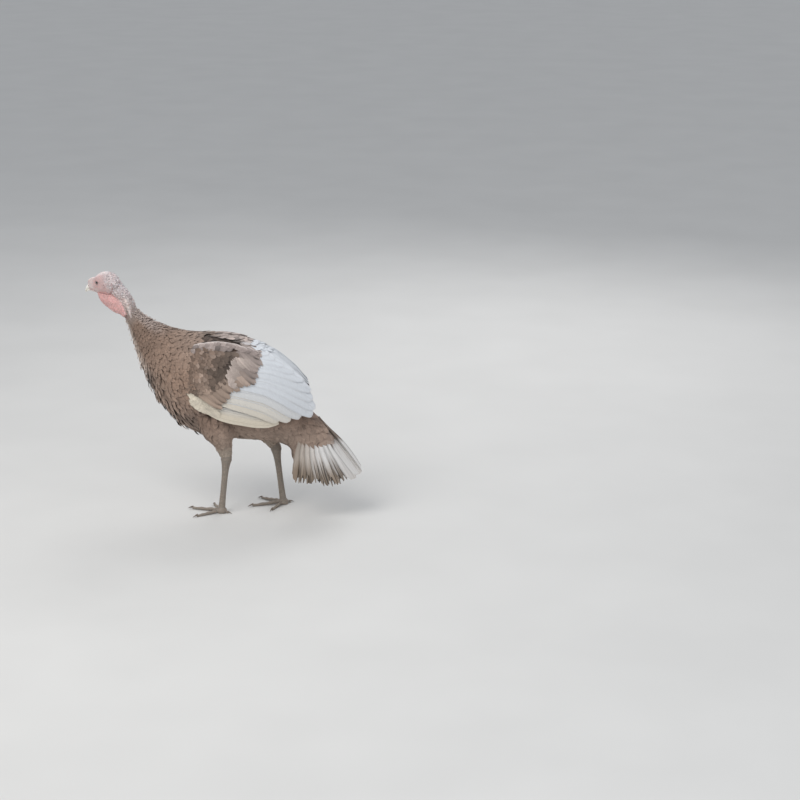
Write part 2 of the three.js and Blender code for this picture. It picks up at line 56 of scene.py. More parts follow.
def row_shift():
    """How far the row frame's origin lies from the bird's own, read from where her left foot stands."""
    low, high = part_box("foot_left")
    foot = np.array([47.0, -73.0])
    middle = (np.array(low)[:2] + np.array(high)[:2]) / 2
    return np.array([*(middle - foot * MM), 0.0])


SHIFT = row_shift()


def to_row(points):
    return np.asarray(points, float) * MM + SHIFT


# -- driving sizes, as in the part's source --

# Neck and trunk: back and front in (y, z), half width, sideways place, turn to her right in degrees.
BODY = [
    (-340, 602, -374, 577, 16, -5, 24),
    (-318, 579, -354, 554, 17, -4, 15),
    (-305, 553, -340, 530, 17.5, -2, 6),
    (-297, 534, -327, 507, 19, 0, 0),
    (-274, 513, -317, 482, 24.5, 0, 0),
    (-241, 496, -309, 454, 34, 0, 0),
    (-200, 483, -299, 418, 47, 0, 0),
    (-155, 475, -285, 378, 62, 0, 0),
    (-105, 474, -263, 328, 77, 0, 0),
    (-55, 473, -232, 277, 86, 0, 0),
    (-5, 453, -188, 231, 90, 0, 0),
    (42, 423, -124, 204, 88, 0, 0),
    (84, 390, -52, 196, 79, 0, 0),
    (116, 352, 15, 193, 66, 0, 0),
    (139, 314, 72, 188, 51, 0, 0),
    (158, 280, 106, 172, 38, 0, 0),
]
BARE_END = 3.1  # station where the feathers start
TRUNK_START = 6.4
TRUNK_END = 15
COVERTS = [
    (160, 284, 107, 170, 37, 0, 0),
    (190, 250, 113, 143, 41, 0, 0),
    (213, 222, 121, 119, 41, 0, 0),
    (226, 200, 137, 106, 30, 0, 0),
]

HEAD_AT = np.array([-24.0, -394.0, 599.0])
HEAD_TURN = math.radians(30)
HEAD_DROP = math.radians(12)
# Head, bill: forward place, top, bottom, half width.
HEAD = [
    (45, 0, -22.4, 8),
    (36, 6, -25.4, 10.4),
    (25, 11.5, -27.8, 13.4),
    (13, 17, -31, 15.8),
    (-1, 22, -33.5, 17.4),
    (-15, 24.5, -36, 18.8),
    (-30, 23, -37, 19.2),
    (-44, 17.5, -34, 17.6),
    (-54, 8, -28, 13.4),
    (-60, -4, -20, 7),
]
UPPER_BILL = [
    (43, -0.6, -15.8, 7.6),
    (47, -1.8, -16.0, 7.3),
    (53, -4, -16.6, 6.4),
    (60.5, -8.6, -18.4, 4.8),
    (66, -14.4, -21, 2.8),
    (69.4, -20.4, -24.4, 0.9),
]
LOWER_BILL = [
    (43, -15.6, -21.4, 6.8),
    (52, -16.4, -21.6, 5.6),
    (59.5, -18.3, -22.4, 3.8),
    (64, -20.6, -23, 1.4),
]
EYE_AT = (3.0, -1.0)
EYE_RADIUS = 7.0
EYE_DEPTH = 5.2
EAR_AT = (-25.0, -10.0)
# Snood, from its root to the front of the face over the bill: forward place, top, bottom, half width.
SNOOD = [
    (25, 10.5, 0, 3.6),
    (30, 12.6, -5, 5.0),
    (38, 11.6, -8, 5.6),
    (45, 10.2, -8.5, 5.4),
    (49.5, 7.2, -8, 4.6),
    (52.5, 0.5, -8.5, 3.6),
    (54.5, -5.5, -9, 2.2),
]
# Wattle: free edge and root in (f, u), half width.
WATTLE = [
    (25, -27, 2, -24, 6),
    (20, -46, -26, -30, 9),
    (5, -63, -45, -42, 10.5),
    (-13, -76, -57, -56, 10),
    (-29, -85.5, -63, -70, 8.5),
    (-46, -92, -67, -82, 6.2),
    (-57, -100, -70, -94, 3.8),
]

# Folded wing, seen from the side, in (y, z).
ARM_FRONT = [(-145, 345), (-158, 368), (-152, 397), (-140, 424), (-122, 450)]
ARM_REAR = [(-55, 301), (-38, 327), (-6, 356), (28, 374), (42, 402), (42, 426), (30, 446)]
COVERT_BASE = [
    (-140, 344), (-120, 350), (-98, 352), (-73, 359), (-52, 368), (-37, 382), (-34, 402), (-27, 421),
    (-14, 438),
]
QUILL_TIPS = [
    (90, 267), (118, 267), (144, 275), (173, 277), (181, 295), (174, 318), (168, 340), (146, 368),
    (120, 390), (95, 408), (72, 425), (56, 435),
]
HAND_LOW = [
    (-158, 340), (-128, 303), (-94, 287), (-60, 271), (-30, 262), (3, 257), (35, 251), (64, 251), (91, 259),
]
HAND_HIGH = [
    (-146, 349), (-127, 321), (-103, 310), (-72, 302), (-40, 297), (-5, 290), (34, 281), (66, 274),
    (93, 266.5),
]
WING_AT = [-165, -120, -60, 0, 60, 105, 151, 181, 200]
WING_OUT = [70, 90, 102, 102, 90, 75, 54, 40, 33]
WING_TOP = [468, 474, 470, 456, 435, 402, 364, 331, 303]
WING_LOW = [172, 170, 170, 170, 176, 196, 216, 232, 244]

# The clump of pale webs on the coverts, in (y, z). Scapulars: (y, q) of the roots, then their number, length,
# width, lift, amount of pale upper edge with its painted highlight, and tone.
CLUMP_EDGE = [(-2, 426), (-17, 428), (-27, 420), (-34, 404), (-36, 390), (-32, 377), (-22, 369)]
SCAPULARS = [
    ([(-184, 76), (-155, 73), (-130, 72), (-103, 70), (-77, 66), (-50, 60)], 14, 27, 21, 5.6, 0.15, 0.28),
    (
        [(-146, 67), (-124, 62), (-103, 58), (-75, 54), (-50, 51), (-28, 50), (-6, 49), (12, 48)],
        17, 30, 18, 6.4, 0.95, 0.345,
    ),
]

TAIL_ROOT = np.array([0.0, 161.0, 277.0])
TAIL_FALL = math.radians(49.5)
TAIL_QUILLS = 18
TAIL_SPREAD = math.radians(54)
TAIL_ROOF = (math.radians(34), math.radians(62))
TAIL_LENGTH = 212
TAIL_SHORTER = 20

LEGS = {
    1: {"knee": (52, -80, 262), "hock": (48, -56, 155), "foot": (47, -73, 0), "turn": 11},
    -1: {"knee": (-52, -26, 262), "hock": (-48, 56, 160), "foot": (-46, 74, 0), "turn": -25},
}
# Share of the length, half width, half depth.
THIGH = [
    (0, 40, 52), (0.3, 39, 48), (0.5, 32, 34.5), (0.62, 24.5, 24.5), (0.72, 19, 19.5), (0.84, 15.5, 17.5),
    (0.94, 13.5, 17), (1, 11.5, 14.5),
]
SHANK = [
    (0, 10.5, 12.5), (0.05, 12, 14.5), (0.13, 9.6, 11.5), (0.3, 7, 8.6), (0.6, 6.4, 7.8), (0.85, 7.4, 8.4),
    (1, 9, 9.4),
]
# The pad of a foot: radius, height. The shank ends inside it.
PAD = [(12.6, 0), (14.0, 1.2), (14.6, 3), (13.8, 8), (10.2, 13.6)]
SHANK_FOOT = 8
# Angle from straight ahead, length, radius, claw, joints, height of the root.
TOES = {
    "inner": (48, 62, 4.6, 12, 2, 3),
    "middle": (0, 84, 5.0, 13, 3, 3),
    "outer": (-50, 72, 4.6, 12, 4, 3),
    "hind": (-172, 21, 3.8, 10, 1, 8),
}

# -- arithmetic --


def unit(v):
    return v / np.maximum(np.linalg.norm(v, axis=-1, keepdims=True), 1e-12)


def ease(x, low, high):
    t = np.clip((np.asarray(x, float) - low) / (high - low), 0, 1)
    return t * t * (3 - 2 * t)


def lerp(a, b, t):
    return a + (b - a) * t


def blend(a, b, share):
    """From a to b, by one share for each row."""
    return lerp(a, b, np.asarray(share)[:, None])


def dot(a, b):
    return (a * b).sum(-1)


def pair(t, a):
    """Two numbers or arrays, brought to one shape."""
    return np.broadcast_arrays(np.asarray(t, float), np.asarray(a, float))


def beside(*parts):
    """Numbers set side by side, along a new last axis."""
    return np.stack(parts, -1)


def run_along(line):
    """The distance to each point of a line from its start."""
    return np.concatenate([[0], np.cumsum(np.linalg.norm(np.diff(line, axis=0), axis=1))])


def track(values):
    """A smooth run through rows of numbers, one at each whole value of t."""
    rows = np.array(values, float).reshape(len(values), -1)
    run = np.vstack([2 * rows[0] - rows[1], rows, 2 * rows[-1] - rows[-2]])

    def at(t):
        t = np.clip(np.asarray(t, float), 0, len(rows) - 1 - 1e-9)
        i = t.astype(int)
        f = (t - i)[..., None]
        a, b, c, d = run[i], run[i + 1], run[i + 2], run[i + 3]
        return 0.5 * (
            2 * b + (c - a) * f + (2 * a - 5 * b + 4 * c - d) * f**2 + (3 * b - a - 3 * c + d) * f**3
        )

    return at


def line_through(points):
    """A smooth line through points, by the share from 0 to 1 of the way along it."""
    run = track(points)
    return lambda share: run(np.asarray(share) * (len(points) - 1))


def oval(middle, side, up, half, tall, angle, power=2.0, keel=0.0):
    """Points round a middle: angle 0 is up, a quarter turn is to the side. Narrower below by keel."""
    s, c = np.sin(angle), np.cos(angle)
    width = half * (1 - keel * np.clip(-c, 0, None) ** 2)
    across = np.sign(s) * np.abs(s) ** (2 / power) * width
    height = np.sign(c) * np.abs(c) ** (2 / power) * tall
    return middle + side * across[..., None] + up * height[..., None]


# -- forms --


def slices(stations, keeled):
    """The surface through body stations: t along them, a the angle from the back round to her left."""
    run = track(stations)

    def at(t, a, out=0.0):
        t, a = pair(t, a)
        back_y, back_z, front_y, front_z, half, side_x, turn = np.moveaxis(run(t), -1, 0)
        middle = beside(side_x, (back_y + front_y) / 2, (back_z + front_z) / 2)
        rise_y, rise_z = back_y - front_y, back_z - front_z
        tall = np.hypot(rise_y, rise_z) / 2
        yaw = -np.radians(turn)
        side = beside(np.cos(yaw), np.sin(yaw), 0 * yaw)
        level = rise_y / (2 * tall)
        up = beside(-np.sin(yaw) * level, np.cos(yaw) * level, rise_z / (2 * tall))
        keel = 0.16 * ease(t, 4, 9) * (1 - ease(t, 15, 16.5)) if keeled else 0 * t
        return oval(middle, side, up, half + out, tall + out, a, 2.15, keel)

    return at


body = slices(BODY, True)
coverts = slices(COVERTS, False)
hind_body = slices(BODY + COVERTS[1:], True)


THIGH_COAT_END = 0.86


def thigh_depth(t):
    """How far the skin lies under the feathers of a thigh."""
    return lerp(7.5, 0.9, ease(t, 0.25, THIGH_COAT_END))


def thigh_skin(side):
    """The skin of a thigh: t from 0, where it is widest, to 1 at the hock; below 0 a dome, up to -0.3."""
    leg = LEGS[side]
    thigh = limb(leg["knee"], leg["hock"], THIGH)
    knee = np.array(leg["knee"], float)
    rise = 34 * unit(knee - np.array(leg["hock"], float))

    def at(t, a, tuck=0.0):
        t, a = pair(t, a)
        over = np.clip(-t / 0.3, 0, 0.99)[..., None]
        ring = thigh(np.maximum(t, 0), a, -thigh_depth(t) - tuck)
        return knee + (ring - knee) * np.sqrt(1 - over**2) + rise * over

    return at


def coat_depth(t):
    """How far the skin lies under the tips of the feathers, along the body's stations."""
    return np.interp(t, [0, 3.2, 4, 5, 7, 9, 13, 15], [0, 0.4, 3.4, 5, 7, 8.5, 8.5, 7])


LEVEL = np.array([-math.sin(HEAD_TURN), -math.cos(HEAD_TURN), 0.0])
X, Y, Z = np.eye(3)
FORE = LEVEL * math.cos(HEAD_DROP) - Z * math.sin(HEAD_DROP)
UP = LEVEL * math.sin(HEAD_DROP) + Z * math.cos(HEAD_DROP)
LEFT = np.cross(Z, LEVEL)


def on_head(f, u, w=0.0):
    f, u, w = np.broadcast_arrays(*(np.asarray(v, float)[..., None] for v in (f, u, w)))
    return HEAD_AT + FORE * f + UP * u + LEFT * w


def head_frame(points):
    """Forward, up and leftward places of points in the head's own frame."""
    away = points - HEAD_AT
    return away @ FORE, away @ UP, away @ LEFT


def head_form(stations, power):
    run = track(stations)

    def at(t, a):
        f, top, bottom, half = np.moveaxis(run(t), -1, 0)
        middle = on_head(f, (top + bottom) / 2)
        return oval(middle, LEFT, UP, half, (top - bottom) / 2, a, power, 0.12)

    return at


def ring_round(f, u, place, squash):
    """The distance of head places from the middle of an eye or ear."""
    return np.hypot(f - place[0], (u - place[1]) * squash)


def head_half(f):
    places = np.array(HEAD)[::-1]
    return np.interp(f, places[:, 0], places[:, 3])


def wattle_form(t, a):
    edge_f, edge_u, root_f, root_u, half = np.moveaxis(track(WATTLE)(t), -1, 0)
    edge, root = on_head(edge_f, edge_u), on_head(root_f, root_u)
    tall = np.linalg.norm(edge - root, axis=-1) / 2
    return oval((edge + root) / 2, LEFT, unit(edge - root), half, tall, a)


def limb(start, end, stations):
    """A tapering limb: t from 0 to 1 down it, a the angle from the front round to her left."""
    start, end = np.array(start, float), np.array(end, float)
    run = track(stations)
    down = unit(end - start)
    side = unit(X - down * down[0])
    fore = np.cross(down, side)

    def at(t, a, out=0.0):
        t, a = pair(t, a)
        share, wide, deep = np.moveaxis(run(t * (len(stations) - 1)), -1, 0)
        return oval(start + (end - start) * share[..., None], side, fore, wide + out, deep + out, a)

    return at


def shank_form(side):
    leg = LEGS[side]
    return limb(leg["hock"], np.array(leg["foot"], float) + Z * SHANK_FOOT, SHANK)


def toe_frame(side, name):
    """The middle of a foot, the way one of its toes points, and the way across that toe."""
    leg = LEGS[side]
    angle = math.radians(leg["turn"] + side * TOES[name][0])
    heading = np.array([-math.sin(angle), -math.cos(angle), 0.0])
    return np.array(leg["foot"], float), heading, np.cross(Z, heading)


def toe_form(side, name):
    _, long, radius, _, joints, height = TOES[name]
    foot, heading, across = toe_frame(side, name)

    def at(t, a):
        t, a = pair(t, a)
        swell = 1 + 0.09 * np.cos(2 * np.pi * joints * t)
        r = radius * (1 - 0.3 * t) * swell
        lift = r * 0.82 + height * (1 - t) ** 1.5
        middle = foot + heading * (7 + (long - 7) * t)[..., None] + Z * lift[..., None]
        ring = oval(middle, across, Z, r, r * 0.96, a)
        ring[..., 2] = np.maximum(ring[..., 2], 0)
        return ring

    return at


def claw_form(side, name):
    _, long, radius, claw, _, _ = TOES[name]
    foot, heading, across = toe_frame(side, name)
    base = radius * 0.6

    def at(t, a):
        t, a = pair(t, a)
        r = base * (1 - 0.88 * t**1.3)
        height = 0.5 + r + base * 0.9 * np.cos(np.pi / 2 * t) ** 0.8
        middle = foot + heading * (long - 1.8 + (claw + 2) * t)[..., None]
        middle = middle + Z * height[..., None]
        return oval(middle, across, Z, r * 0.82, r, a)

    return at


arm_front, arm_rear, covert_base = (line_through(p) for p in (ARM_FRONT, ARM_REAR, COVERT_BASE))
hand_low, hand_high, quill_tips = (line_through(p) for p in (HAND_LOW, HAND_HIGH, QUILL_TIPS))
wing_rows = track(np.array([WING_OUT, WING_TOP, WING_LOW]).T)


def wing_section(y):
    """How far out the folded wing reaches at places y, and its top and lower edge."""
    return np.moveaxis(wing_rows(np.interp(y, WING_AT, np.arange(len(WING_AT)))), -1, 0)


def wing(y, z, side=1):
    """The folded wing's outer surface, over its place seen from the side."""
    y, z = pair(y, z)
    out, top, low = wing_section(y)
    share = np.minimum(0.985, np.abs((z - (top + low) / 2) / ((top - low) / 2)))
    return beside(side * out * (1 - share**2.6) ** 0.45, y, z)


VAULT_STEP = 4.0
VAULT_FALL = 2.0


def vault_table():
    """Points of the folded wing's surface at even distances down from the crown, for even steps along y."""
    y = np.arange(-200.0, 241.0, VAULT_STEP)
    out, top, low = wing_section(y)
    turn = np.linspace(0, np.pi, 900)[None, :]
    x = out[:, None] * np.sin(turn) ** 0.9
    height = np.sign(np.cos(turn)) * np.abs(np.cos(turn)) ** (2 / 2.6)
    z = ((top + low) / 2)[:, None] + ((top - low) / 2)[:, None] * height
    run = np.cumsum(np.hypot(*(np.diff(v, axis=1, prepend=v[:, :1]) for v in (x, z))), axis=1)
    q = np.arange(0.0, 420.0, VAULT_FALL)
    rows = [beside(np.interp(q, run[i], x[i]), np.interp(q, run[i], z[i])) for i in range(len(y))]
    return y, q, np.stack(rows)


VAULT_Y, VAULT_Q, VAULT = vault_table()


def vault(y, q, side=1):
    """The folded wing's outer surface, over y and the distance q down from the crown of the back."""
    y, q = pair(y, q)
    i = np.clip((y - VAULT_Y[0]) / VAULT_STEP, 0, len(VAULT_Y) - 1.001)
    j = np.clip(np.abs(q) / VAULT_FALL, 0, len(VAULT_Q) - 1.001)
    a, b = i.astype(int), j.astype(int)
    u, v = (i - a)[..., None], (j - b)[..., None]
    found = lerp(lerp(VAULT[a, b], VAULT[a, b + 1], v), lerp(VAULT[a + 1, b], VAULT[a + 1, b + 1], v), u)
    return beside(side * np.sign(q) * found[..., 0], y, found[..., 1])


def vault_place(flat):
    """Where points of the side view, (y, z), lie on the vault: (y, q)."""
    y, z = flat[:, 0], flat[:, 1]
    i = np.clip((y - VAULT_Y[0]) / VAULT_STEP, 0, len(VAULT_Y) - 1.001)
    a = i.astype(int)
    height = blend(VAULT[a, :, 1], VAULT[a + 1, :, 1], i - a)
    b = np.clip((height > z[:, None]).sum(1), 1, len(VAULT_Q) - 1)
    upper, lower = height[np.arange(len(y)), b - 1], height[np.arange(len(y)), b]
    part = np.clip((upper - z) / np.maximum(upper - lower, 1e-6), 0, 1)
    return beside(y, (b - 1 + part) * VAULT_FALL)


# -- meshes --


def mesh_of(name, points, quads=(), tris=(), metres=False):
    """A mesh from points in the bird's frame and arrays of faces."""
    mesh = bpy.data.meshes.new(name)
    points = points if metres else to_row(points)
    corners = np.concatenate([np.ravel(quads), np.ravel(tris)]).astype(np.int32)
    sizes = np.concatenate([np.full(len(quads), 4), np.full(len(tris), 3)]).astype(np.int32)
    mesh.vertices.add(len(points))
    mesh.vertices.foreach_set("co", np.asarray(points, np.float32).ravel())
    mesh.loops.add(len(corners))
    mesh.loops.foreach_set("vertex_index", corners)
    mesh.polygons.add(len(sizes))
    mesh.polygons.foreach_set("loop_start", (np.cumsum(sizes) - sizes).astype(np.int32))
    mesh.update(calc_edges=True)
    mesh.validate()
    return mesh


def object_of(name, data):
    thing = bpy.data.objects.new(name, data)
    scene.collection.objects.link(thing)
    return thing


def closed_rings(rings):
    """Points and faces of a closed form through rings (R, M, 3), with a middle point at each end."""
    count, around = rings.shape[:2]
    points = np.vstack([rings.reshape(-1, 3), rings[0].mean(0), rings[-1].mean(0)])
    i = np.arange(around)
    j = (i + 1) % around
    r = np.arange(count - 1)[:, None] * around
    quads = beside(r + i, r + j, r + around + j, r + around + i).reshape(-1, 4)
    first, last = count * around, (count - 1) * around
    tris = np.vstack([beside(0 * i + first, j, i), beside(0 * i + first + 1, last + i, last + j)])
    a, b, c, d = (points[quads[:, k]] - points.mean(0) for k in range(4))
    volume = dot(a, np.cross(b, c)).sum() + dot(a, np.cross(c, d)).sum()
    if volume < 0:
        quads, tris = quads[:, ::-1], tris[:, ::-1]
    return points, quads, tris


def circle(count):
    """Even angles all the way round."""
    return np.linspace(0, 2 * np.pi, count, endpoint=False)


def form(surface, start, end, steps, count, out=None):
    """A closed form over a surface's first parameter, t from start to end, moved outwards by out(t)."""
    t, a = np.linspace(start, end, steps)[:, None], circle(count)[None, :]
    more = [] if out is None else [out(t) + 0 * a]
    return closed_rings(surface(t + 0 * a, a + 0 * t, *more))


def joined(parts):
    points, quads, tris, total = [], [], [], 0
    for part_points, part_quads, part_tris in parts:
        points.append(part_points)
        quads.append(np.asarray(part_quads).reshape(-1, 4) + total)
        tris.append(np.asarray(part_tris).reshape(-1, 3) + total)
        total += len(part_points)
    return np.vstack(points), np.vstack(quads), np.vstack(tris)


def evaluated(thing):
    """The plain mesh of an object with its modifiers applied; the object goes."""
    graph = bpy.context.evaluated_depsgraph_get()
    mesh = bpy.data.meshes.new_from_object(thing.evaluated_get(graph))
    bpy.data.objects.remove(thing)
    return mesh


def remeshed(name, parts, voxel):
    """One closed skin round overlapping closed forms, with faces a voxel across, in millimetres."""
    points, quads, tris = joined(parts)
    thing = object_of(name, mesh_of(name, points, quads, tris))
    cells = thing.modifiers.new("Cells", "REMESH")
    cells.mode = "VOXEL"
    cells.voxel_size = voxel * MM
    return evaluated(thing)


def read(items, field, wide, kind=np.float32):
    """A field of a mesh's items as rows of numbers."""
    values = np.empty(len(items) * wide, kind)
    items.foreach_get(field, values)
    return values.reshape(-1, wide)


def places_of(mesh):
    return (read(mesh.vertices, "co", 3).astype(float) - SHIFT) / MM


def set_places(mesh, points):
    mesh.vertices.foreach_set("co", to_row(points).astype(np.float32).ravel())
    mesh.update()


def normals_of(mesh):
    return read(mesh.vertex_normals, "vector", 3).astype(float)


def edges_of(mesh):
    return read(mesh.edges, "vertices", 2, np.int32)


def relax(points, edges, rounds, share=None):
    """Smooths without shrinking; share says how much of each move a point takes."""
    both = np.vstack([edges, edges[:, ::-1]])
    count = np.maximum(np.bincount(both[:, 0], minlength=len(points)), 1)[:, None]
    for _ in range(rounds):
        for weight in (0.5, -0.52):
            total = np.stack(
                [np.bincount(both[:, 0], points[both[:, 1], k], len(points)) for k in range(3)], -1
            )
            move = weight * (total / count - points)
            points = points + (move if share is None else move * share[:, None])
    return points


def near_line(f, u, line):
    """Distance from points (f, u) to a line of [f, u] corners, and the share of it reached there."""
    best, share = np.full(f.shape, 1e9), np.zeros(f.shape)
    count = len(line) - 1
    for k in range(count):
        (af, au), (bf, bu) = line[k], line[k + 1]
        long = (bf - af) ** 2 + (bu - au) ** 2
        t = np.clip(((f - af) * (bf - af) + (u - au) * (bu - au)) / long, 0, 1)
        away = np.hypot(f - af - t * (bf - af), u - au - t * (bu - au))
        closer = away < best
        best[closer], share[closer] = away[closer], (k + t[closer]) / count
    return best, share


def bell(x, width):
    return np.exp(-((x / width) ** 2))


def fold(f, u, line, width):
    """1 on a line, falling off over a width to its sides."""
    return bell(near_line(f, u, line)[0], width)


def cells_at(points, size, seed):
    """For each point, how near it is to the middle of its cell, 1 at the middle and 0 at the edge."""
    value = np.empty(len(points))
    for i, p in enumerate(points / size):
        (near, far, *_), _ = noise.voronoi(Vector(p) + Vector((seed, 0, 0)))
        value[i] = min(1.0, (far - near) * 1.6)
    return value


def noise_at(points, size, seed=0.0):
    out = np.empty(len(points))
    shift = Vector((seed, 2 * seed, 0))
    for i, p in enumerate(points / size):
        out[i] = noise.noise(Vector(p) + shift)
    return out


# -- skin: head and bare neck --

SOCKET = {side: on_head(*EYE_AT, side * (head_half(EYE_AT[0]) - EYE_DEPTH)) for side in (1, -1)}
GAPE = [(45, -16.8), (37, -17.2), (30, -17.8), (26, -19.6)]
JAW_CREASE = [(8, -29), (-6, -33), (-20, -36.5), (-34, -35), (-43, -29), (-49, -20), (-50, -8)]
WATTLE_CREASE = [(-46, -37), (-56, -50), (-62, -66), (-66, -80), (-70, -94)]
BROW = [(38, 2), (26, 7.5), (12, 11), (0, 12), (-10, 9)]
PALE_FOLD = [(-71, -56), (-75, -81), (-78, -104), (-86, -127)]


def lid_tube(side, upper):
    """Half of the ring of lid round an eye, an almond's edge lying on the ball."""
    turns = np.linspace(0.0, 1.0, 22)
    angle = np.pi * turns if upper else -np.pi * turns
    long, tall = (5.7, 4.5) if upper else (5.7, 3.9)
    f = long * np.cos(angle)
    u = tall * np.sin(angle) * (1 - 0.1 * np.cos(angle)) + 0.12 * f
    reach = EYE_RADIUS + 0.25
    w = np.sqrt(np.maximum(reach**2 - f**2 - u**2, 1.0))
    middle = SOCKET[side] + f[:, None] * FORE + u[:, None] * UP + side * w[:, None] * LEFT
    out = unit(middle - SOCKET[side])
    along = unit(np.gradient(middle, axis=0))
    across = np.cross(out, along)
    a = circle(10)[None, :, None]
    thick = (1.25 if upper else 1.0) * (0.72 + 0.28 * np.sin(np.pi * turns))[:, None, None]
    rings = middle[:, None] + thick * (across[:, None] * np.cos(a) * 1.25 + out[:, None] * np.sin(a) * 0.8)
    return closed_rings(rings)


def ellipsoid(middle, radii, axes):
    theta = np.linspace(0.02, np.pi - 0.02, 24)[:, None]
    a = circle(32)[None, :]
    local = [np.cos(theta) + 0 * a, np.sin(theta) * np.cos(a), np.sin(theta) * np.sin(a)]
    return closed_rings(middle + sum(r * v[..., None] * axis for r, v, axis in zip(radii, local, axes)))


def bare_parts():
    parts = [
        form(head_form(HEAD, 2.1), 0, len(HEAD) - 1, 70, 64),
        form(body, 0, 3.9, 60, 48, lambda t: -coat_depth(t) - 2.2 * ease(t, 3.5, 3.9)),
        form(wattle_form, 0, len(WATTLE) - 1, 50, 40),
        form(head_form(SNOOD, 2.6), 0, len(SNOOD) - 1, 34, 36),
    ]
    skull, throat = head_form(HEAD, 2.1)(6.6, circle(48)), body(0.9, circle(48), -0.3)
    blend = np.linspace(0, 1, 24)[:, None, None]
    parts.append(closed_rings(lerp(skull, throat, blend)))
    for side in (1, -1):
        parts += [lid_tube(side, True), lid_tube(side, False)]
        ear = on_head(*EAR_AT, side * (head_half(EAR_AT[0]) - 0.7))
        parts.append(ellipsoid(ear, (5.4, 1.9, 4.6), (FORE, LEFT, UP)))
    return parts


def head_relief(points):
    """How far the skin of the head and bare neck stands out, in millimetres."""
    f, u, w = head_frame(points)
    off = np.abs(w)
    relief = np.zeros(len(points))
    outer = ease(off, 3, 8)

    gape, _ = near_line(f, u, GAPE)
    relief -= bell(gape, 1.0) * outer
    relief += 0.45 * bell(gape - 2.6, 1.2) * outer

    ring = ring_round(f, u, EYE_AT, 1.16)
    flank = ease(off, 8, 12) * (ring < 16)
    relief += flank * (-0.55 * bell(ring - 8.1, 0.8) + 0.35 * bell(ring - 9.6, 0.9))
    relief += flank * (-0.3 * bell(ring - 11.2, 0.7) + 0.2 * bell(ring - 12.6, 0.9))
    relief += 0.7 * fold(f, u, BROW, 3.2) * ease(off, 4, 9)

    ear = ring_round(f, u, EAR_AT, 1.15)
    relief += outer * (0.8 * bell(ear - 4.4, 1.3) - 1.9 * bell(ear, 2.2))

    jaw, along = near_line(f, u, JAW_CREASE)
    relief -= 1.3 * bell(jaw, 1.5) * outer * (0.4 + 0.6 * np.sin(np.pi * along))
    relief += 0.5 * bell(jaw - 3.2, 1.6) * outer
    crease, _ = near_line(f, u, WATTLE_CREASE)
    relief -= 1.5 * bell(crease, 1.7) * ease(off, 2, 6)
    relief += 0.8 * bell(crease - 4.0, 1.6) * ease(off, 2, 6)

    # Pleats down the wattle, and rings of fine folds round the bare neck.
    drift = noise_at(points, 14, 3.0)
    slow = noise_at(points, 26, 9.0)
    on_wattle = wattle_share(f, u)
    down = f * 0.62 - u * 0.78
    across = f * 0.78 + u * 0.62
    relief += on_wattle * 0.6 * np.sin(across * 1.0 + 3.4 * drift + 0.05 * down)
    relief += on_wattle * 1.2 * slow
    for shift, high in ((5.5, 1.0), (10.5, -0.7), (15, 0.7)):
        relief += high * pleat(f, u, shift, 2.0) * (1 - on_wattle) * ease(off, 1, 4)
    relief += 1.2 * fold(f, u, PALE_FOLD, 2.3) * ease(off, 0, 3)
    neck = neck_share(f, u) * (1 - on_wattle)
    relief += neck * 0.4 * np.sin(down * 0.95 + 4.5 * drift)
    relief += neck * 0.35 * np.sin(across * 0.8 + 5 * slow)

    # Warts, small on the face and larger towards the nape and the foot of the wattle.
    size = 0.16 + 0.75 * ease(-f + 0.25 * u, 18, 46)
    size = np.maximum(size, 0.6 * on_wattle * ease(-u, 60, 92))
    size = np.where(ring < 7.4, 0.0, size)
    near = size > 0.02
    warts = np.zeros(len(points))
    warts[near] = cells_at(points[near], 3.4, 5.0) - 0.45
    fine = np.zeros(len(points))
    fine[near] = cells_at(points[near], 1.9, 31.0) - 0.45
    relief += size * (0.85 * warts + 0.3 * fine)
    relief += fold(f, u, [(33, 5), (48, 5)], 5) * 0.3 * np.sin(f * 2.1 + u * 0.6)
    return relief


def pleat(f, u, shift, width):
    """The fold that runs behind the wattle's crease, a shift away."""
    return fold(f, u, [(lf - shift, lu - 0.4 * shift) for lf, lu in WATTLE_CREASE], width)


def wattle_share(f, u):
    """1 on the wattle, 0 off it."""
    edge = track(WATTLE)(np.linspace(0, len(WATTLE) - 1, 60))
    outline = np.vstack([edge[:, 0:2], edge[::-1, 2:4]])
    inside = in_outline(beside(f, u), outline)
    away = outline_distance(beside(f, u), outline)
    return ease(np.where(inside, away, -away), -1.5, 2.5)


def neck_share(f, u):
    return ease(-f - 0.55 * u, 34, 52)


def in_outline(points, outline):
    """Whether points of a plane lie inside a closed outline."""
    x, y = points[..., 0], points[..., 1]
    inside = np.zeros(x.shape, bool)
    for (ax, ay), (bx, by) in zip(outline, np.roll(outline, -1, 0)):
        if ay != by:
            inside ^= ((ay > y) != (by > y)) & (x < (bx - ax) * (y - ay) / (by - ay) + ax)
    return inside


def outline_distance(points, outline):
    line = [tuple(p) for p in np.vstack([outline, outline[:1]])]
    return near_line(points[..., 0], points[..., 1], line)[0]


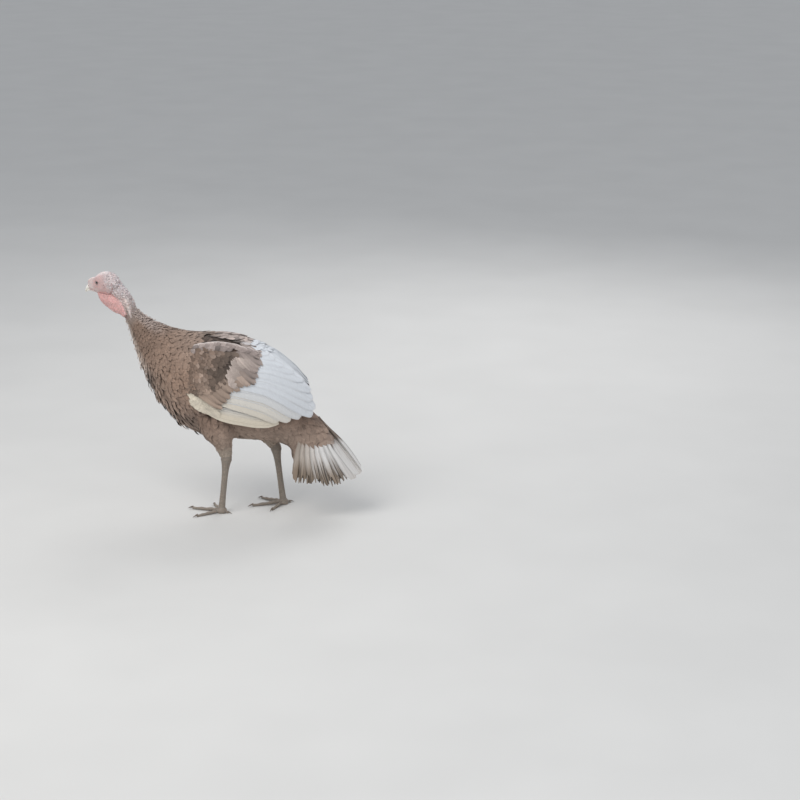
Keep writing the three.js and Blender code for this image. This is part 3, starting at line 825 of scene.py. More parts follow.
def head_skin():
    mesh = remeshed("head_skin", bare_parts(), 1.0)
    points, edges = places_of(mesh), edges_of(mesh)
    f, u, w = head_frame(points)
    ring = ring_round(f, u, EYE_AT, 1.16)
    points = relax(points, edges, 4)
    points = relax(points, edges, 14, ease(np.where(np.abs(w) > 6, ring, 20), 7, 11))
    set_places(mesh, points)
    points = points + normals_of(mesh) * head_relief(points)[:, None]
    # The opening of the lids: the skin inside it sinks under the ball.
    for side, socket in SOCKET.items():
        away = points - socket
        reach = np.linalg.norm(away, axis=-1)
        lf, lu = away @ FORE, away @ UP
        opening = np.hypot(lf / 5.3, (lu - 0.12 * lf - 0.25) / 3.9)
        sunk = (opening < 1) & (away @ LEFT * side > 2) & (reach < EYE_RADIUS + 6)
        target = np.where(sunk, np.minimum(reach, EYE_RADIUS - 1.2), reach)
        points = socket + away * (target / np.maximum(reach, 1e-6))[:, None]
    set_places(mesh, points)
    return mesh


# -- skin: trunk, thighs and legs --


def arm_slab(side):
    """The flesh of a folded wing, from its outer face in to the trunk."""
    v = np.linspace(0.03, 0.97, 26)
    start, end = arm_front(v), arm_rear(v)
    u = np.linspace(0.04, 0.93, 30)[:, None, None]
    flat = start + (end - start) * u
    flat[..., 1] += 13 * np.sin(np.pi * u[..., 0]) * v**2
    outer = wing(flat[..., 0], flat[..., 1], side)
    edge = np.minimum(np.sin(np.pi * np.linspace(0, 1, 30))[:, None], np.sin(np.pi * v)[None, :]) ** 0.4
    inner = outer - np.array([side, 0, 0]) * (3 + 24 * edge)[..., None]
    rings = np.concatenate([outer, inner[:, ::-1]], 1)
    return closed_rings(rings)


def trunk_skin():
    parts = [
        form(
            body, 3.35, TRUNK_END, 92, 64,
            lambda t: -(coat_depth(t) + 1.5 * (1 - ease(t, 3.35, 3.9))),
        ),
        form(coverts, 0, len(COVERTS) - 1, 30, 64, lambda t: -9 - 4 * t),
    ]
    for side in LEGS:
        parts.append(form(thigh_skin(side), -0.29, 0.8, 50, 64, lambda t: 4.5 * ease(t, 0.5, 0.66)))
        parts.append(arm_slab(side))
    mesh = remeshed("trunk_skin", parts, 4.0)
    set_places(mesh, relax(places_of(mesh), edges_of(mesh), 10))
    return mesh


def leg_skin():
    parts = []
    for side, leg in LEGS.items():
        foot, hock = np.array(leg["foot"], float), np.array(leg["hock"], float)
        parts.append(form(shank_form(side), 0, 1, 60, 32))
        parts.append(form(thigh_skin(side), 0.46, 1, 50, 36))
        parts.append(ellipsoid(hock - Z, (12.5, 11.6, 14.2), (Z, X, Y)))
        a = circle(36)
        rings = [foot + beside(r * np.cos(a), r * np.sin(a), 0 * a + z) for r, z in PAD]
        parts.append(closed_rings(np.stack(rings)))
        for name in TOES:
            parts.append(form(toe_form(side, name), 0, 1, 48, 24))
    mesh = remeshed("leg_skin", parts, 1.52)
    points = relax(places_of(mesh), edges_of(mesh), 5)
    points[:, 2] = np.where(points[:, 2] < 0.35, 0, points[:, 2])
    set_places(mesh, points)
    return mesh


def united(name, meshes):
    """One closed mesh of several that pass into each other."""
    main, *others = [object_of(f"{name}_{i}", mesh) for i, mesh in enumerate(meshes)]
    for other in others:
        union = main.modifiers.new("Union", "BOOLEAN")
        union.operation = "UNION"
        union.solver = "MANIFOLD"
        union.object = other
    mesh = evaluated(main)
    for other in others:
        bpy.data.objects.remove(other)
    return object_of(name, mesh)


# -- colours --

def rgb(red, green, blue):
    return np.array([red, green, blue])


TAUPE = rgb(0.225, 0.152, 0.113)
PALE_TAUPE = rgb(0.42, 0.325, 0.27)
WARM_TAUPE = rgb(0.3, 0.192, 0.133)
WHITE = rgb(0.625, 0.645, 0.672)
CREAM = rgb(0.66, 0.59, 0.48)
# The grey of the painted shadow along the quills' covered edges.
SHADOW_GREY = rgb(0.47, 0.465, 0.475)
DIRTY = rgb(0.25, 0.185, 0.13)
FACE = rgb(0.595, 0.405, 0.388)
NAPE = rgb(0.56, 0.472, 0.47)
WING_FRONT = rgb(0.205, 0.142, 0.107)
# A pale colour that also carries a painted highlight, for the upper edge of the scapulars.
PALE_AND_LIT_EDGE = rgb(0.74, 0.66, 0.62)
BARE_NECK = rgb(0.395, 0.325, 0.288)
PINK = rgb(0.7, 0.395, 0.375)
LEG = rgb(0.255, 0.212, 0.172)
HORN = rgb(0.9, 0.865, 0.795)


def skin_tint(points):
    """The skin's colour at each point: face, nape, wattle, bare neck, the coat's colour under it, legs; on
    the head, painted highlight and shade too.
    """
    f, u, w = head_frame(points)
    tint = body_markings(points) * 0.6
    low = np.where(points[:, 1] < -20, 178, 184)
    legs = ease(low - points[:, 2], -4, 4)
    tint = blend(tint, LEG, legs)
    up_neck = 0.754 * points[:, 2] - 0.657 * points[:, 1]
    head = ease(up_neck, 584, 594) * (points[:, 1] < -200)
    blotch = noise_at(points, 9, 2.0)
    small = noise_at(points, 2.6, 8.0)
    back = -f + 0.3 * u
    core = wattle_share(f, u)
    face = FACE
    for colour, share in (
        (NAPE, ease(back + 10 * blotch, 10, 46)),
        (rgb(0.69, 0.585, 0.56), 0.75 * ease(f, 12, 34)),
        # Painted highlight: the top of the crown paler, where light from above falls.
        (rgb(0.85, 0.75, 0.74), 0.85 * ease(u + 0.15 * f, 11, 21)),
        (BARE_NECK, neck_share(f, u) * ease(-u, 20, 90)),
        (PINK, core * (0.86 + 0.22 * blotch)),
    ):
        face = blend(face, colour, share)
    throat = fold(f, u, [(-57, -98), (-76, -118)], 8)
    face = lerp(face, PINK * 0.85, 0.6 * throat[:, None])
    face = face * (1 + 0.22 * core * noise_at(points, 2.4, 17.0))[:, None]
    # Painted light and shade on the pleats behind the wattle: lighter on the two raised ones, darker in the
    # sunk one between.
    for shift, tone, amount in ((5.5, 1.12, 0.6), (10.5, 0.78, 0.45), (15, 1.1, 0.4)):
        share = amount * (pleat(f, u, shift, 1.9) * (1 - core))
        face = blend(face, lerp(BARE_NECK, PINK, 0.35) * tone, share)
    mottle = 0.8 * noise_at(points, 4.2, 12.0) + 0.9 * noise_at(points, 1.8, 3.0)
    aged = ease(back, 14, 50) * (1 - core) * (1 - 0.7 * ease(-u, 52, 96))
    face = blend(face, rgb(0.19, 0.158, 0.168), 0.78 * aged * ease(mottle, 0.16, 0.62))
    face = blend(face, rgb(0.84, 0.765, 0.76), 0.62 * aged * ease(-mottle, 0.04, 0.45))
    chin = ease(f, -2, 14) * ease(-u, 12, 18) * (1 - core)
    face = blend(face, rgb(0.74, 0.58, 0.545), 0.6 * chin)
    seam = fold(f, u, PALE_FOLD, 2.8)
    face = blend(face, rgb(0.8, 0.69, 0.65), 0.8 * seam)
    low_neck = neck_share(f, u) * ease(-u, 58, 92) * (1 - core) * (1 - 0.6 * seam)
    face = face * (1 - 0.38 * low_neck)[:, None]
    face = face * (1 + 0.1 * blotch + 0.12 * small)[:, None]
    rim = ring_round(f, u, EYE_AT, 1.2)
    lids = bell(rim - 5.4, 1.6) * (np.abs(w) > 8)
    face = blend(face, rgb(0.24, 0.155, 0.15), 0.65 * lids)
    # Painted shade: the ear's sunk opening darkened.
    ear = bell(ring_round(f, u, EAR_AT, 1.1), 2.0) * (np.abs(w) > 10)
    face = blend(face, rgb(0.16, 0.1, 0.095), 0.85 * ear)
    # Painted shade along the gape and in the crease under the jaw.
    gape = fold(f, u, GAPE, 0.9)
    face = blend(face, rgb(0.24, 0.13, 0.12), 0.6 * gape)
    jaw = fold(f, u, JAW_CREASE, 1.8)
    face = blend(face, rgb(0.4, 0.22, 0.21), 0.45 * jaw)
    return blend(tint, face, head)


def colour_points(mesh, tint):
    layer = mesh.attributes.new("Tint", "FLOAT_COLOR", "POINT")
    layer.data.foreach_set("color", np.hstack([tint, np.ones((len(tint), 1))]).astype(np.float32).ravel())


# -- materials --


def add_node(tree, kind, inputs=(), **settings):
    """A node with its settings; an input is another node's output or a constant."""
    made = tree.nodes.new(kind)
    for key, value in settings.items():
        setattr(made, key, value)
    for socket, value in dict(inputs).items():
        if isinstance(value, bpy.types.NodeSocket):
            tree.links.new(value, made.inputs[socket])
        else:
            made.inputs[socket].default_value = value
    return made


class Finish:
    """A material under construction: adds nodes and joins them."""

    def __init__(self, name, roughness, **sockets):
        self.material = bpy.data.materials.new(name)
        self.material.use_nodes = True
        self.tree = self.material.node_tree
        self.shader = self.tree.nodes["Principled BSDF"]
        self.shader.inputs["Roughness"].default_value = roughness
        for socket, value in sockets.items():
            self.shader.inputs[socket.replace("_", " ")].default_value = value

    def node(self, kind, inputs=(), **settings):
        return add_node(self.tree, kind, inputs, **settings)

    def maths(self, operation, a, b=0.0, c=0.0):
        return self.node("ShaderNodeMath", {0: a, 1: b, 2: c}, operation=operation).outputs[0]

    def tint(self):
        return self.node("ShaderNodeAttribute", attribute_name="Tint").outputs["Color"]

    def noise(self, scale, detail=3.0, vector=None, distortion=0.0):
        vector = vector or self.node("ShaderNodeTexCoord").outputs["Object"]
        inputs = {"Vector": vector, "Scale": scale, "Detail": detail, "Distortion": distortion}
        return self.node("ShaderNodeTexNoise", inputs).outputs["Fac"]

    def remap(self, value, low, high, to_low, to_high):
        inputs = {"Value": value, "From Min": low, "From Max": high, "To Min": to_low, "To Max": to_high}
        return self.node("ShaderNodeMapRange", inputs).outputs["Result"]

    def shade(self, colour, factor):
        """A colour made lighter or darker by a factor round 1."""
        inputs = {0: colour, "Scale": factor}
        return self.node("ShaderNodeVectorMath", inputs, operation="SCALE").outputs["Vector"]

    def spread(self, value, low, high):
        """A noise's usual range, 0.3 to 0.7, taken to low and high."""
        return self.remap(value, 0.3, 0.7, low, high)

    def plain(self, *colour):
        """One colour, for shading by a noise."""
        made = self.node("ShaderNodeRGB")
        made.outputs[0].default_value = (*colour, 1)
        return made.outputs[0]

    def bump(self, height, strength, distance, under=None):
        inputs = {"Height": height, "Strength": strength, "Distance": distance}
        if under is not None:
            inputs["Normal"] = under
        return self.node("ShaderNodeBump", inputs).outputs["Normal"]

    def done(self, colour=None, normal=None, roughness=None):
        for output, socket in ((colour, "Base Color"), (normal, "Normal"), (roughness, "Roughness")):
            if output is not None:
                self.tree.links.new(output, self.shader.inputs[socket])
        return self.material


def skin_finish():
    finish = Finish("bare_skin", 0.5, Subsurface_Weight=0.12, Subsurface_Scale=0.004)
    finish.shader.inputs["Subsurface Radius"].default_value = (1.0, 0.4, 0.3)
    grain = finish.noise(1900, 3)
    place = finish.node("ShaderNodeTexCoord").outputs["Object"]
    pores = finish.node("ShaderNodeTexVoronoi", {"Vector": place, "Scale": 620.0}).outputs["Distance"]
    colour = finish.shade(finish.tint(), finish.spread(grain, 0.86, 1.12))
    colour = finish.shade(colour, finish.remap(pores, 0.1, 0.7, 1.08, 0.86))
    fine = finish.bump(pores, 0.35, 0.0006)
    normal = finish.bump(grain, 0.25, 0.0004, fine)
    rough = finish.spread(grain, 0.42, 0.62)
    return finish.done(colour, normal, rough)


def feather_finish(name, spacing, depth, contrast, roughness):
    """Barbs run out from the shaft and towards the tip; the map Vane holds metres across and along."""
    finish = Finish(name, roughness, Sheen_Weight=0.05, Sheen_Roughness=0.5)
    finish.shader.inputs["Specular IOR Level"].default_value = 0.3
    place = finish.node("ShaderNodeUVMap", uv_map="Vane").outputs["UV"]
    split = finish.node("ShaderNodeSeparateXYZ", {"Vector": place})
    across = finish.maths("ABSOLUTE", split.outputs["X"])
    barb = finish.maths("MULTIPLY_ADD", across, -1.15, split.outputs["Y"])
    wobble = finish.noise(260, 2)
    barb = finish.maths("MULTIPLY_ADD", wobble, 0.0012, barb)
    wave = finish.maths("SINE", finish.maths("MULTIPLY", barb, 2 * math.pi / spacing))
    narrowed = finish.maths("MULTIPLY", across, 0.12)
    streak_at = finish.node("ShaderNodeCombineXYZ", {"X": barb, "Y": narrowed})
    streak = finish.noise(900, 3, streak_at.outputs["Vector"])
    shaft = finish.remap(across, 0.0, 0.0007, 1.0, 0.0)
    factor = finish.maths("MULTIPLY_ADD", wave, 0.05 * contrast, 1.0)
    streaks = finish.spread(streak, 1 - 0.16 * contrast, 1 + 0.12 * contrast)
    factor = finish.maths("MULTIPLY", factor, streaks)
    factor = finish.maths("MULTIPLY_ADD", shaft, -0.1 * contrast, factor)
    colour = finish.shade(finish.tint(), factor)
    ridges = finish.bump(wave, 0.35, depth)
    normal = finish.bump(streak, 0.5, depth * 1.5, ridges)
    return finish.done(colour, normal)


def horn_finish():
    finish = Finish("bill_horn", 0.35)
    streak = finish.noise(240, 4, distortion=0.6)
    grain = finish.noise(1500, 2)
    colour = finish.shade(finish.tint(), finish.spread(streak, 0.86, 1.1))
    return finish.done(colour, finish.bump(grain, 0.2, 0.0003), finish.spread(streak, 0.28, 0.45))


def scute_finish():
    finish = Finish("leg_scutes", 0.5)
    cloud = finish.noise(90, 3)
    grain = finish.noise(1300, 3)
    colour = finish.shade(finish.tint(), finish.spread(cloud, 0.8, 1.18))
    colour = finish.shade(colour, finish.spread(grain, 0.9, 1.08))
    return finish.done(colour, finish.bump(grain, 0.35, 0.0004), finish.spread(cloud, 0.42, 0.6))


def eye_finish():
    finish = Finish("eye_wet", 0.06, Coat_Weight=1.0, Coat_Roughness=0.02)
    fibre = finish.noise(1400, 3)
    return finish.done(finish.shade(finish.tint(), finish.spread(fibre, 0.7, 1.3)))


# -- feathers --


class Coat:
    """Feathers of one tract, each a closed thin vane, gathered into one mesh."""

    PATCH = 0.003

    def __init__(self):
        self.points, self.quads, self.tris = [], [], []
        self.tints, self.vanes, self.bakes = [], [], []
        self.total = 0

    def add(self, top, out, thick, tints, vane, roots):
        """top (N, S, W, 3) is each vane's upper face; out (N, S, 3) its normals; thick (N, S) its depth.

        tints (N, S, W, 3) are colours, vane (N, S, W, 2) metres across and along, roots (N, 2) places on the
        skin's unwrap.
        """
        count, rows, wide = top.shape[:3]
        inner = wide - 2 if wide > 7 else 1
        if inner == 1:
            chosen, deep = np.array([wide // 2]), np.array([1.0])
        else:
            chosen = np.arange(wide - 2, 0, -1)
            deep = 0.35 + 0.65 * (1 - (2 * chosen / (wide - 1) - 1) ** 2)
        under = top[:, :, chosen] - out[:, :, None] * (thick[..., None] * deep)[..., None]
        ring = wide + inner
        points = np.concatenate([top, under], 2)
        tint = np.concatenate([tints, tints[:, :, chosen] * 0.9], 2)
        flat = np.concatenate([vane, vane[:, :, chosen]], 2)
        s, w = np.meshgrid(np.linspace(0, 1, rows), np.linspace(0, 1, wide), indexing="ij")
        patch = beside(w, s)
        patch = np.concatenate([patch, patch[:, chosen]], 1) * self.PATCH - self.PATCH / 2
        bake = roots[:, None, None] + patch[None]
        i = np.arange(ring)
        j = (i + 1) % ring
        r = np.arange(rows - 1)[:, None] * ring
        walls = beside(r + i, r + j, r + ring + j, r + ring + i).reshape(-1, 4)
        last = (rows - 1) * ring
        if inner == 1:
            k = np.arange(wide - 1)
            centre = 0 * k + wide
            caps = np.vstack([beside(centre, k + 1, k), beside(centre, k, k + 1) + last])
            end_quads = np.empty((0, 4), int)
        else:
            k = np.arange(1, wide - 2)
            low = ring - k
            end = beside(k, low, low - 1, k + 1)
            end_quads = np.vstack([end, end[:, ::-1] + last])
            caps = np.array([[0, ring - 1, 1], [wide - 2, wide, wide - 1]])
            caps = np.vstack([caps, caps[:, ::-1] + last])
        quads = np.vstack([walls, end_quads])
        start = self.total + np.arange(count)[:, None, None] * rows * ring
        # Every vane's faces look out of it, whichever way its columns run.
        across = top[:, :, -1] - top[:, :, 0]
        along = np.gradient(top[:, :, wide // 2], axis=1)
        turned = (dot(np.cross(across, along), out).sum(1) < 0)[:, None, None]
        quads = np.where(turned, quads[None, :, ::-1], quads[None]) + start
        caps = np.where(turned, caps[None, :, ::-1], caps[None]) + start
        lists = (self.quads, self.tris, self.points, self.tints, self.vanes, self.bakes)
        for held, values in zip(lists, (quads, caps, points, tint, flat, bake)):
            held.append(values.reshape(-1, values.shape[-1]))
        self.total += count * rows * ring

    def build(self, name, finish, slot, *nodes):
        mesh = mesh_of(name, np.vstack(self.points), np.vstack(self.quads), np.vstack(self.tris))
        colour_points(mesh, np.clip(np.vstack(self.tints), 0.005, 0.95))
        corner = read(mesh.loops, "vertex_index", 1, np.int32)[:, 0]
        for layer, values in (("Vane", self.vanes), ("OFBake", self.bakes)):
            uv = mesh.uv_layers.new(name=layer)
            uv.data.foreach_set("uv", np.vstack(values)[corner].astype(np.float32).ravel())
        mesh.shade_smooth()
        mesh.set_sharp_from_angle(angle=math.radians(60))
        mesh.materials.append(finish)
        return dressed(object_of(name, mesh), slot, *nodes)


def one_coat(name, finish, *vanes):
    """A buff coat of one set of feathers."""
    coat = Coat()
    coat.add(*vanes)
    return coat.build(name, finish, "buff_plumage")


def dressed(piece, slot, *nodes):
    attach(piece, "root")
    if nodes:
        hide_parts(*nodes)
    return piece


def painted(name, mesh, tint, finish, slot, *nodes):
    """A finished smooth piece from a mesh and the colours of its points."""
    colour_points(mesh, tint)
    mesh.shade_smooth()
    mesh.materials.append(finish)
    return dressed(object_of(name, mesh), slot, *nodes)


def thinning(top, thick, foot=1.2, tip=0.35):
    """The depth of each vane, thinner from its foot to its tip."""
    count, rows = top.shape[:2]
    return np.full((count, rows), thick) * np.linspace(foot, tip, rows)[None]


# A contour feather's outline: share of its length, share of its half width.
CONTOUR = np.array(
    [(0, 0.35), (0.22, 0.72), (0.45, 0.95), (0.66, 1.0), (0.82, 0.9), (0.93, 0.66), (1.0, 0.3)]
)
LONG_CONTOUR = np.array(
    [
        (0, 0.4), (0.15, 0.7), (0.3, 0.88), (0.45, 0.97), (0.6, 1.0), (0.74, 0.98), (0.85, 0.9),
        (0.93, 0.74), (0.98, 0.5), (1.0, 0.28),
    ]
)


def slopes(place, p, q, steps):
    """The surface's point, its two slopes and its outward normal at parameters p and q."""
    ep, eq = steps
    here = place(p, q)
    along = (place(p + ep, q) - place(p - ep, q)) / (2 * ep)
    across = (place(p, q + eq) - place(p, q - eq)) / (2 * eq)
    return here, along, across, unit(np.cross(along, across))


def pulled_back(along, across, d):
    """The change of parameters that moves a surface point by d."""
    aa, ab, bb = dot(along, along), dot(along, across), dot(across, across)
    ra, rb = dot(along, d), dot(across, d)
    det = np.maximum(aa * bb - ab * ab, 1e-9)
    return (bb * ra - ab * rb) / det, (aa * rb - ab * ra) / det


def feather(place, roots, lie, length, width, lift, steps, flip=1.0, outline=CONTOUR, columns=5, turn=0.0,
            rag=0.06, camber=0.1, roll=0.0, seed=0, bow=0.0):
    """Vanes that follow a surface from their roots along the lie of the coat.

    lie(p, q, here, along, across) gives the way they point; lift(s) (N, S) is their height over the surface.
    Returns the grid of points, the normals, and the metres across and along.
    """
    rng = np.random.default_rng(seed)
    p, q = roots[:, 0].copy(), roots[:, 1].copy()
    count, rows = len(roots), len(outline)
    across_share = np.linspace(-1, 1, columns)
    tops, outs, vanes = [], [], []
    uneven = 1 + rng.uniform(-rag, rag * 0.7, (count, columns))
    heights = lift(outline[:, 0])
    turned = np.broadcast_to(turn, (count,)).astype(float)
    for k in range(rows):
        share, broad = outline[k]
        here, along, across, out = slopes(place, p, q, steps)
        out = out * flip
        d = lie(p, q, here, along, across)
        d = unit(d - out * dot(d, out)[:, None])
        angle = (turned + bow * share)[:, None]
        d = unit(d * np.cos(angle) + np.cross(out, d) * np.sin(angle))
        b = np.cross(out, d)
        dp, dq = pulled_back(along, across, b)
        half = (width / 2 * broad)[:, None]
        reach = across_share[None] * half
        spread = place(p[:, None] + dp[:, None] * reach, q[:, None] + dq[:, None] * reach)
        height = heights[:, k][:, None] - camber * half * across_share[None] ** 2 + roll * reach
        edge = (uneven - 1) * share**3 * length[:, None]
        tops.append(spread + out[:, None] * height[..., None] + d[:, None] * edge[..., None])
        outs.append(out)
        vanes.append(beside(reach, share * length[:, None] + edge) * MM)
        if k + 1 < rows:
            step = (outline[k + 1, 0] - share) * length
            sp, sq = pulled_back(along, across, d)
            p, q = p + sp * step, q + sq * step
    return np.stack(tops, 1), np.stack(outs, 1), np.stack(vanes, 1)


def settled(length, spacing, depth, jitter, loose=0.0):
    """Heights of feathers that overlap like tiles: each rises over the next, then lies down on it."""

    def lift(share):
        run = share[None] * length[:, None]
        slope = depth / np.maximum(length - spacing, 1.0)
        rise = slope[:, None] * run
        top = depth[:, None] + 0.15
        height = top - 0.5 * (top - rise + np.sqrt((top - rise) ** 2 + 0.5))
        return height - 0.3 + jitter[:, None] + np.asarray(loose).reshape(-1, 1) * share[None] ** 2

    return lift


def each(values):
    """A colour or a row of them, shaped to spread over vanes."""
    return np.asarray(values, float).reshape(-1, 1, 1, 3)


def plumage(base, top, pale, dark, rng, spread, edge):
    """Colours over vanes: darker towards the root, paler at the rim, each feather a little different."""
    count, rows, columns = top.shape[:3]
    base, pale, dark = each(base), each(pale), each(dark)
    s = np.linspace(0, 1, rows)[None, :, None, None]
    w = np.abs(np.linspace(-1, 1, columns))[None, None, :, None]
    own = (1 + rng.normal(0, spread, (count, 1, 1, 1))) * np.ones((1, 1, 1, 3))
    rim = np.clip(w**3 * ease(s, 0.3, 0.9) + ease(s, 0.86, 1.0), 0, 1)
    tint = lerp(dark, base, ease(s, 0.1, 0.55))
    tint = lerp(tint, pale, rim * edge)
    streaks = 1 + rng.normal(0, 0.035, (count, 1, columns, 1))
    return tint * own * streaks


def ring_roots(place, rows, spacing, rng, jitter=0.28):
    """Roots on rings round a surface, evenly spaced along each, every other ring set over by half."""
    found = []
    step = np.gradient(rows)
    for i, t in enumerate(rows):
        a = np.linspace(0, 2 * np.pi, 241)
        ring = place(np.full_like(a, t), a)
        run = run_along(ring)
        count = max(3, int(round(run[-1] / spacing(t))))
        at = (np.arange(count) + 0.5 * (i % 2) + rng.uniform(-jitter, jitter, count)) / count % 1.0
        angle = np.interp(at * run[-1], run, a)
        found.append(beside(t + rng.uniform(-jitter, jitter, count) * step[i], angle))
    return np.vstack(found)


def even_rows(place, start, end, spacing):
    """Values of t from start to end, a spacing apart along a line over the surface."""
    t = np.linspace(start, end, 400)
    sides = [place(t, np.full_like(t, angle)) for angle in (0.0, np.pi / 2, np.pi)]
    run = np.mean([np.linalg.norm(np.diff(line, axis=0), axis=1) for line in sides], axis=0)
    gaps = np.concatenate([[0], np.cumsum(run / spacing((t[1:] + t[:-1]) / 2))])
    return np.interp(np.arange(0, gaps[-1]), gaps, t)


def down_lie(sag):
    """Along the body towards the tail, with a share of straight down."""

    def lie(p, q, here, along, across):
        return unit(along) + np.array([0, 0.0, -sag])

    return lie


WING_OUTLINE = np.array(ARM_FRONT[::-1] + HAND_LOW[1:] + QUILL_TIPS + [(30, 446)], float)


def under_wing(points):
    """Whether body points lie well under a folded wing, or under the feathers between the two wings."""
    inside = in_outline(points[:, 1:], WING_OUTLINE)
    away = outline_distance(points[:, 1:], WING_OUTLINE)
    between = (points[:, 1] > -95) & (points[:, 1] < 95)
    margin = np.where((points[:, 1] < -110) & (points[:, 2] < 352), 4, 16)
    fold = (np.abs(points[:, 1] + 20) < 108) & (points[:, 2] > 425) & (np.abs(points[:, 0]) > 9)
    return fold | inside & (away > margin) & ((np.abs(points[:, 0]) > 26) | between)


def body_markings(points):
    """The plumage's colour over neck and trunk, paler low on the belly as painted light against the shade
    underneath.
    """
    y, z = points[:, 1], points[:, 2]
    warm = bell(np.hypot(y + 190, z - 378), 80) + 0.6 * bell(np.hypot(y + 250, z - 300), 60)
    pale = bell(np.hypot(y + 130, z - 470), 70)
    tint = lerp(TAUPE, WARM_TAUPE, np.clip(warm, 0, 1)[:, None] * 0.8)
    tint = lerp(tint, PALE_TAUPE, pale[:, None] * 0.4)
    # Painted light: paler low on the belly and towards the rear, lifting the shade underneath.
    painted_shading = ease(-z, -300, -215) * ease(y, -150, -60)
    tint = lerp(tint, rgb(0.345, 0.258, 0.205), painted_shading[:, None] * 0.85)
    tint = tint * (1 - 0.16 * bell(np.hypot(y + 262, z - 468), 42))[:, None]
    cloud = noise_at(points, 38, 4.0) * 0.2 + noise_at(points, 15, 7.0) * 0.14
    return tint * (1 + cloud)[:, None]


def bake_place(t, a, last):
    """Where a root lies on the skin's unwrap: round it and along it."""
    return beside(0.04 + 0.92 * (a % (2 * np.pi)) / (2 * np.pi), 0.04 + 0.92 * t / last)


def body_coat(name, start, end, row_gap, long, wide, finish, seed, surface=body):
    """Contour feathers over a stretch of the body, looser and longer low on the breast."""
    rng = np.random.default_rng(seed)
    skin = lambda t, a: surface(t, a, -coat_depth(t))
    rows = even_rows(skin, start, end, row_gap)
    roots = ring_roots(skin, rows, row_gap, rng)
    roots = roots[~under_wing(surface(roots[:, 0], roots[:, 1]))]
    t, a = roots.T
    places = surface(t, a)
    count = len(roots)
    breast = bell(a - np.pi, 1.15) * ease(t, 5.6, 7.4) * (1 - ease(t, 9.9, 11.2))
    throat = ease(-np.cos(a), 0.52, 0.86) * (1 - ease(t, 6.4, 7.8))
    ruff_and_highlight = ease(np.cos(a), 0.35, 0.85) * (1 - ease(t, 4.0, 6.0))
    length = long(t) * rng.uniform(0.85, 1.15, count) * (1 + 0.4 * breast)
    width = wide(t) * rng.uniform(0.85, 1.1, count) * (1 - 0.3 * breast)
    loose = rng.exponential(0.6, count) * (0.3 + 3.2 * breast + 2.2 * throat + 2.0 * ruff_and_highlight) + 2.0 * ruff_and_highlight
    jitter = rng.normal(0, 0.16, count) * (1 + 3 * breast)
    lift = settled(length, row_gap(t), coat_depth(t + 0.2), jitter, np.minimum(loose, 6.5))
    top, out, vane = feather(
        skin, roots, down_lie(0.12), length, width, lift, (0.01, 0.01), flip=-1.0, seed=seed, rag=0.16,
        turn=rng.normal(0, 0.09, count) * (1 + 0.7 * breast),
    )
    base = body_markings(places)
    base = blend(base, BARE_NECK * 0.8, 0.8 * (1 - ease(t, 3.0, 4.0)))
    base = lerp(base, rgb(0.64, 0.53, 0.455), 0.85 * throat[:, None])
    # The first feathers at the back of the neck, loose and paler: the paler colour is a painted highlight
    # where light from above falls.
    base = blend(base, rgb(0.54, 0.445, 0.405), 0.75 * ruff_and_highlight)
    # Painted shadow: down the front of the breast, feathers picked by a noise are coloured near black to
    # stand for the shaded gaps between pale-edged feathers.
    flow = beside((a - np.pi) * 62, t * 10, 0 * t)
    gaps = noise_at(flow, 9.5, 11.0) + 0.1 * bell(a - np.pi, 0.5) + rng.normal(0, 0.05, count)
    front = bell(a - np.pi, 0.95) ** 2 * ease(t, 6.4, 7.4) * (1 - ease(t, 9.6, 10.8))
    gap_shadow = (np.minimum(1.5 * front, 1) * ease(gaps, 0.06, 0.17))[:, None]
    base = lerp(lerp(base, PALE_TAUPE, 0.55 * breast[:, None]), base * 0.07, gap_shadow)
    open_coat = np.maximum(breast, 0.6 * throat)[:, None]
    dark = base * 0.45 * lerp(1.65, 0.9, open_coat)
    pale = base_pale(base) * (1 - 0.5 * gap_shadow)
    edge = 0.22 + 0.5 * open_coat[..., None, None]
    tints = plumage(base, top, pale, dark, rng, 0.075, edge)
    return one_coat(name, finish, top, out, thinning(top, 0.5), tints, vane, bake_place(t, a, TRUNK_END + 3))


def base_pale(base):
    return lerp(base, PALE_TAUPE, 0.75)


def thigh_coat(name, side, finish, seed):
    """Soft feathers down a thigh, shorter and thinner to the hock."""
    rng = np.random.default_rng(seed)
    skin = thigh_skin(side)
    gap = lambda t: lerp(8.0, 2.9, ease(t, 0.2, 0.72))
    rows = even_rows(skin, -0.24, THIGH_COAT_END - 0.02, gap)
    roots = ring_roots(skin, rows, gap, rng)
    t, a = roots.T
    count = len(roots)
    slim = ease(t, 0.15, 0.76)
    length = lerp(29, 7.5, slim) * rng.uniform(0.82, 1.18, count)
    width = lerp(13, 3.4, slim) * rng.uniform(0.88, 1.1, count)
    loose = rng.exponential(0.4, count) * lerp(1.0, 0.2, slim)
    lift = settled(length, gap(t), thigh_depth(t), rng.normal(0, 0.2, count) * (1 - 0.7 * slim), loose)
    lie = lambda p, q, here, along, across: unit(along) + np.array([0, 0.1, 0])
    top, out, vane = feather(
        skin, roots, lie, length, width, lift, (0.004, 0.01), flip=thigh_flip(skin), seed=seed, rag=0.14,
        turn=rng.normal(0, 0.13, count),
    )
    base = body_markings(skin(t, a)) * 1.02
    base = blend(base, LEG * 1.8, 0.85 * ease(t, 0.22, 0.6))
    tints = plumage(base, top, base_pale(base), base * 0.45, rng, 0.07, 0.3)
    return one_coat(name, finish, top, out, thinning(top, 0.45), tints, vane, bake_place(t + 0.3, a, 1.3))


def thigh_flip(skin):
    """1 if the slopes' normal points out of the limb at its front, or else -1."""
    here, _, _, out = slopes(skin, np.array([0.5]), np.array([0.0]), (0.004, 0.01))
    return 1.0 if out[0, 1] < 0 else -1.0


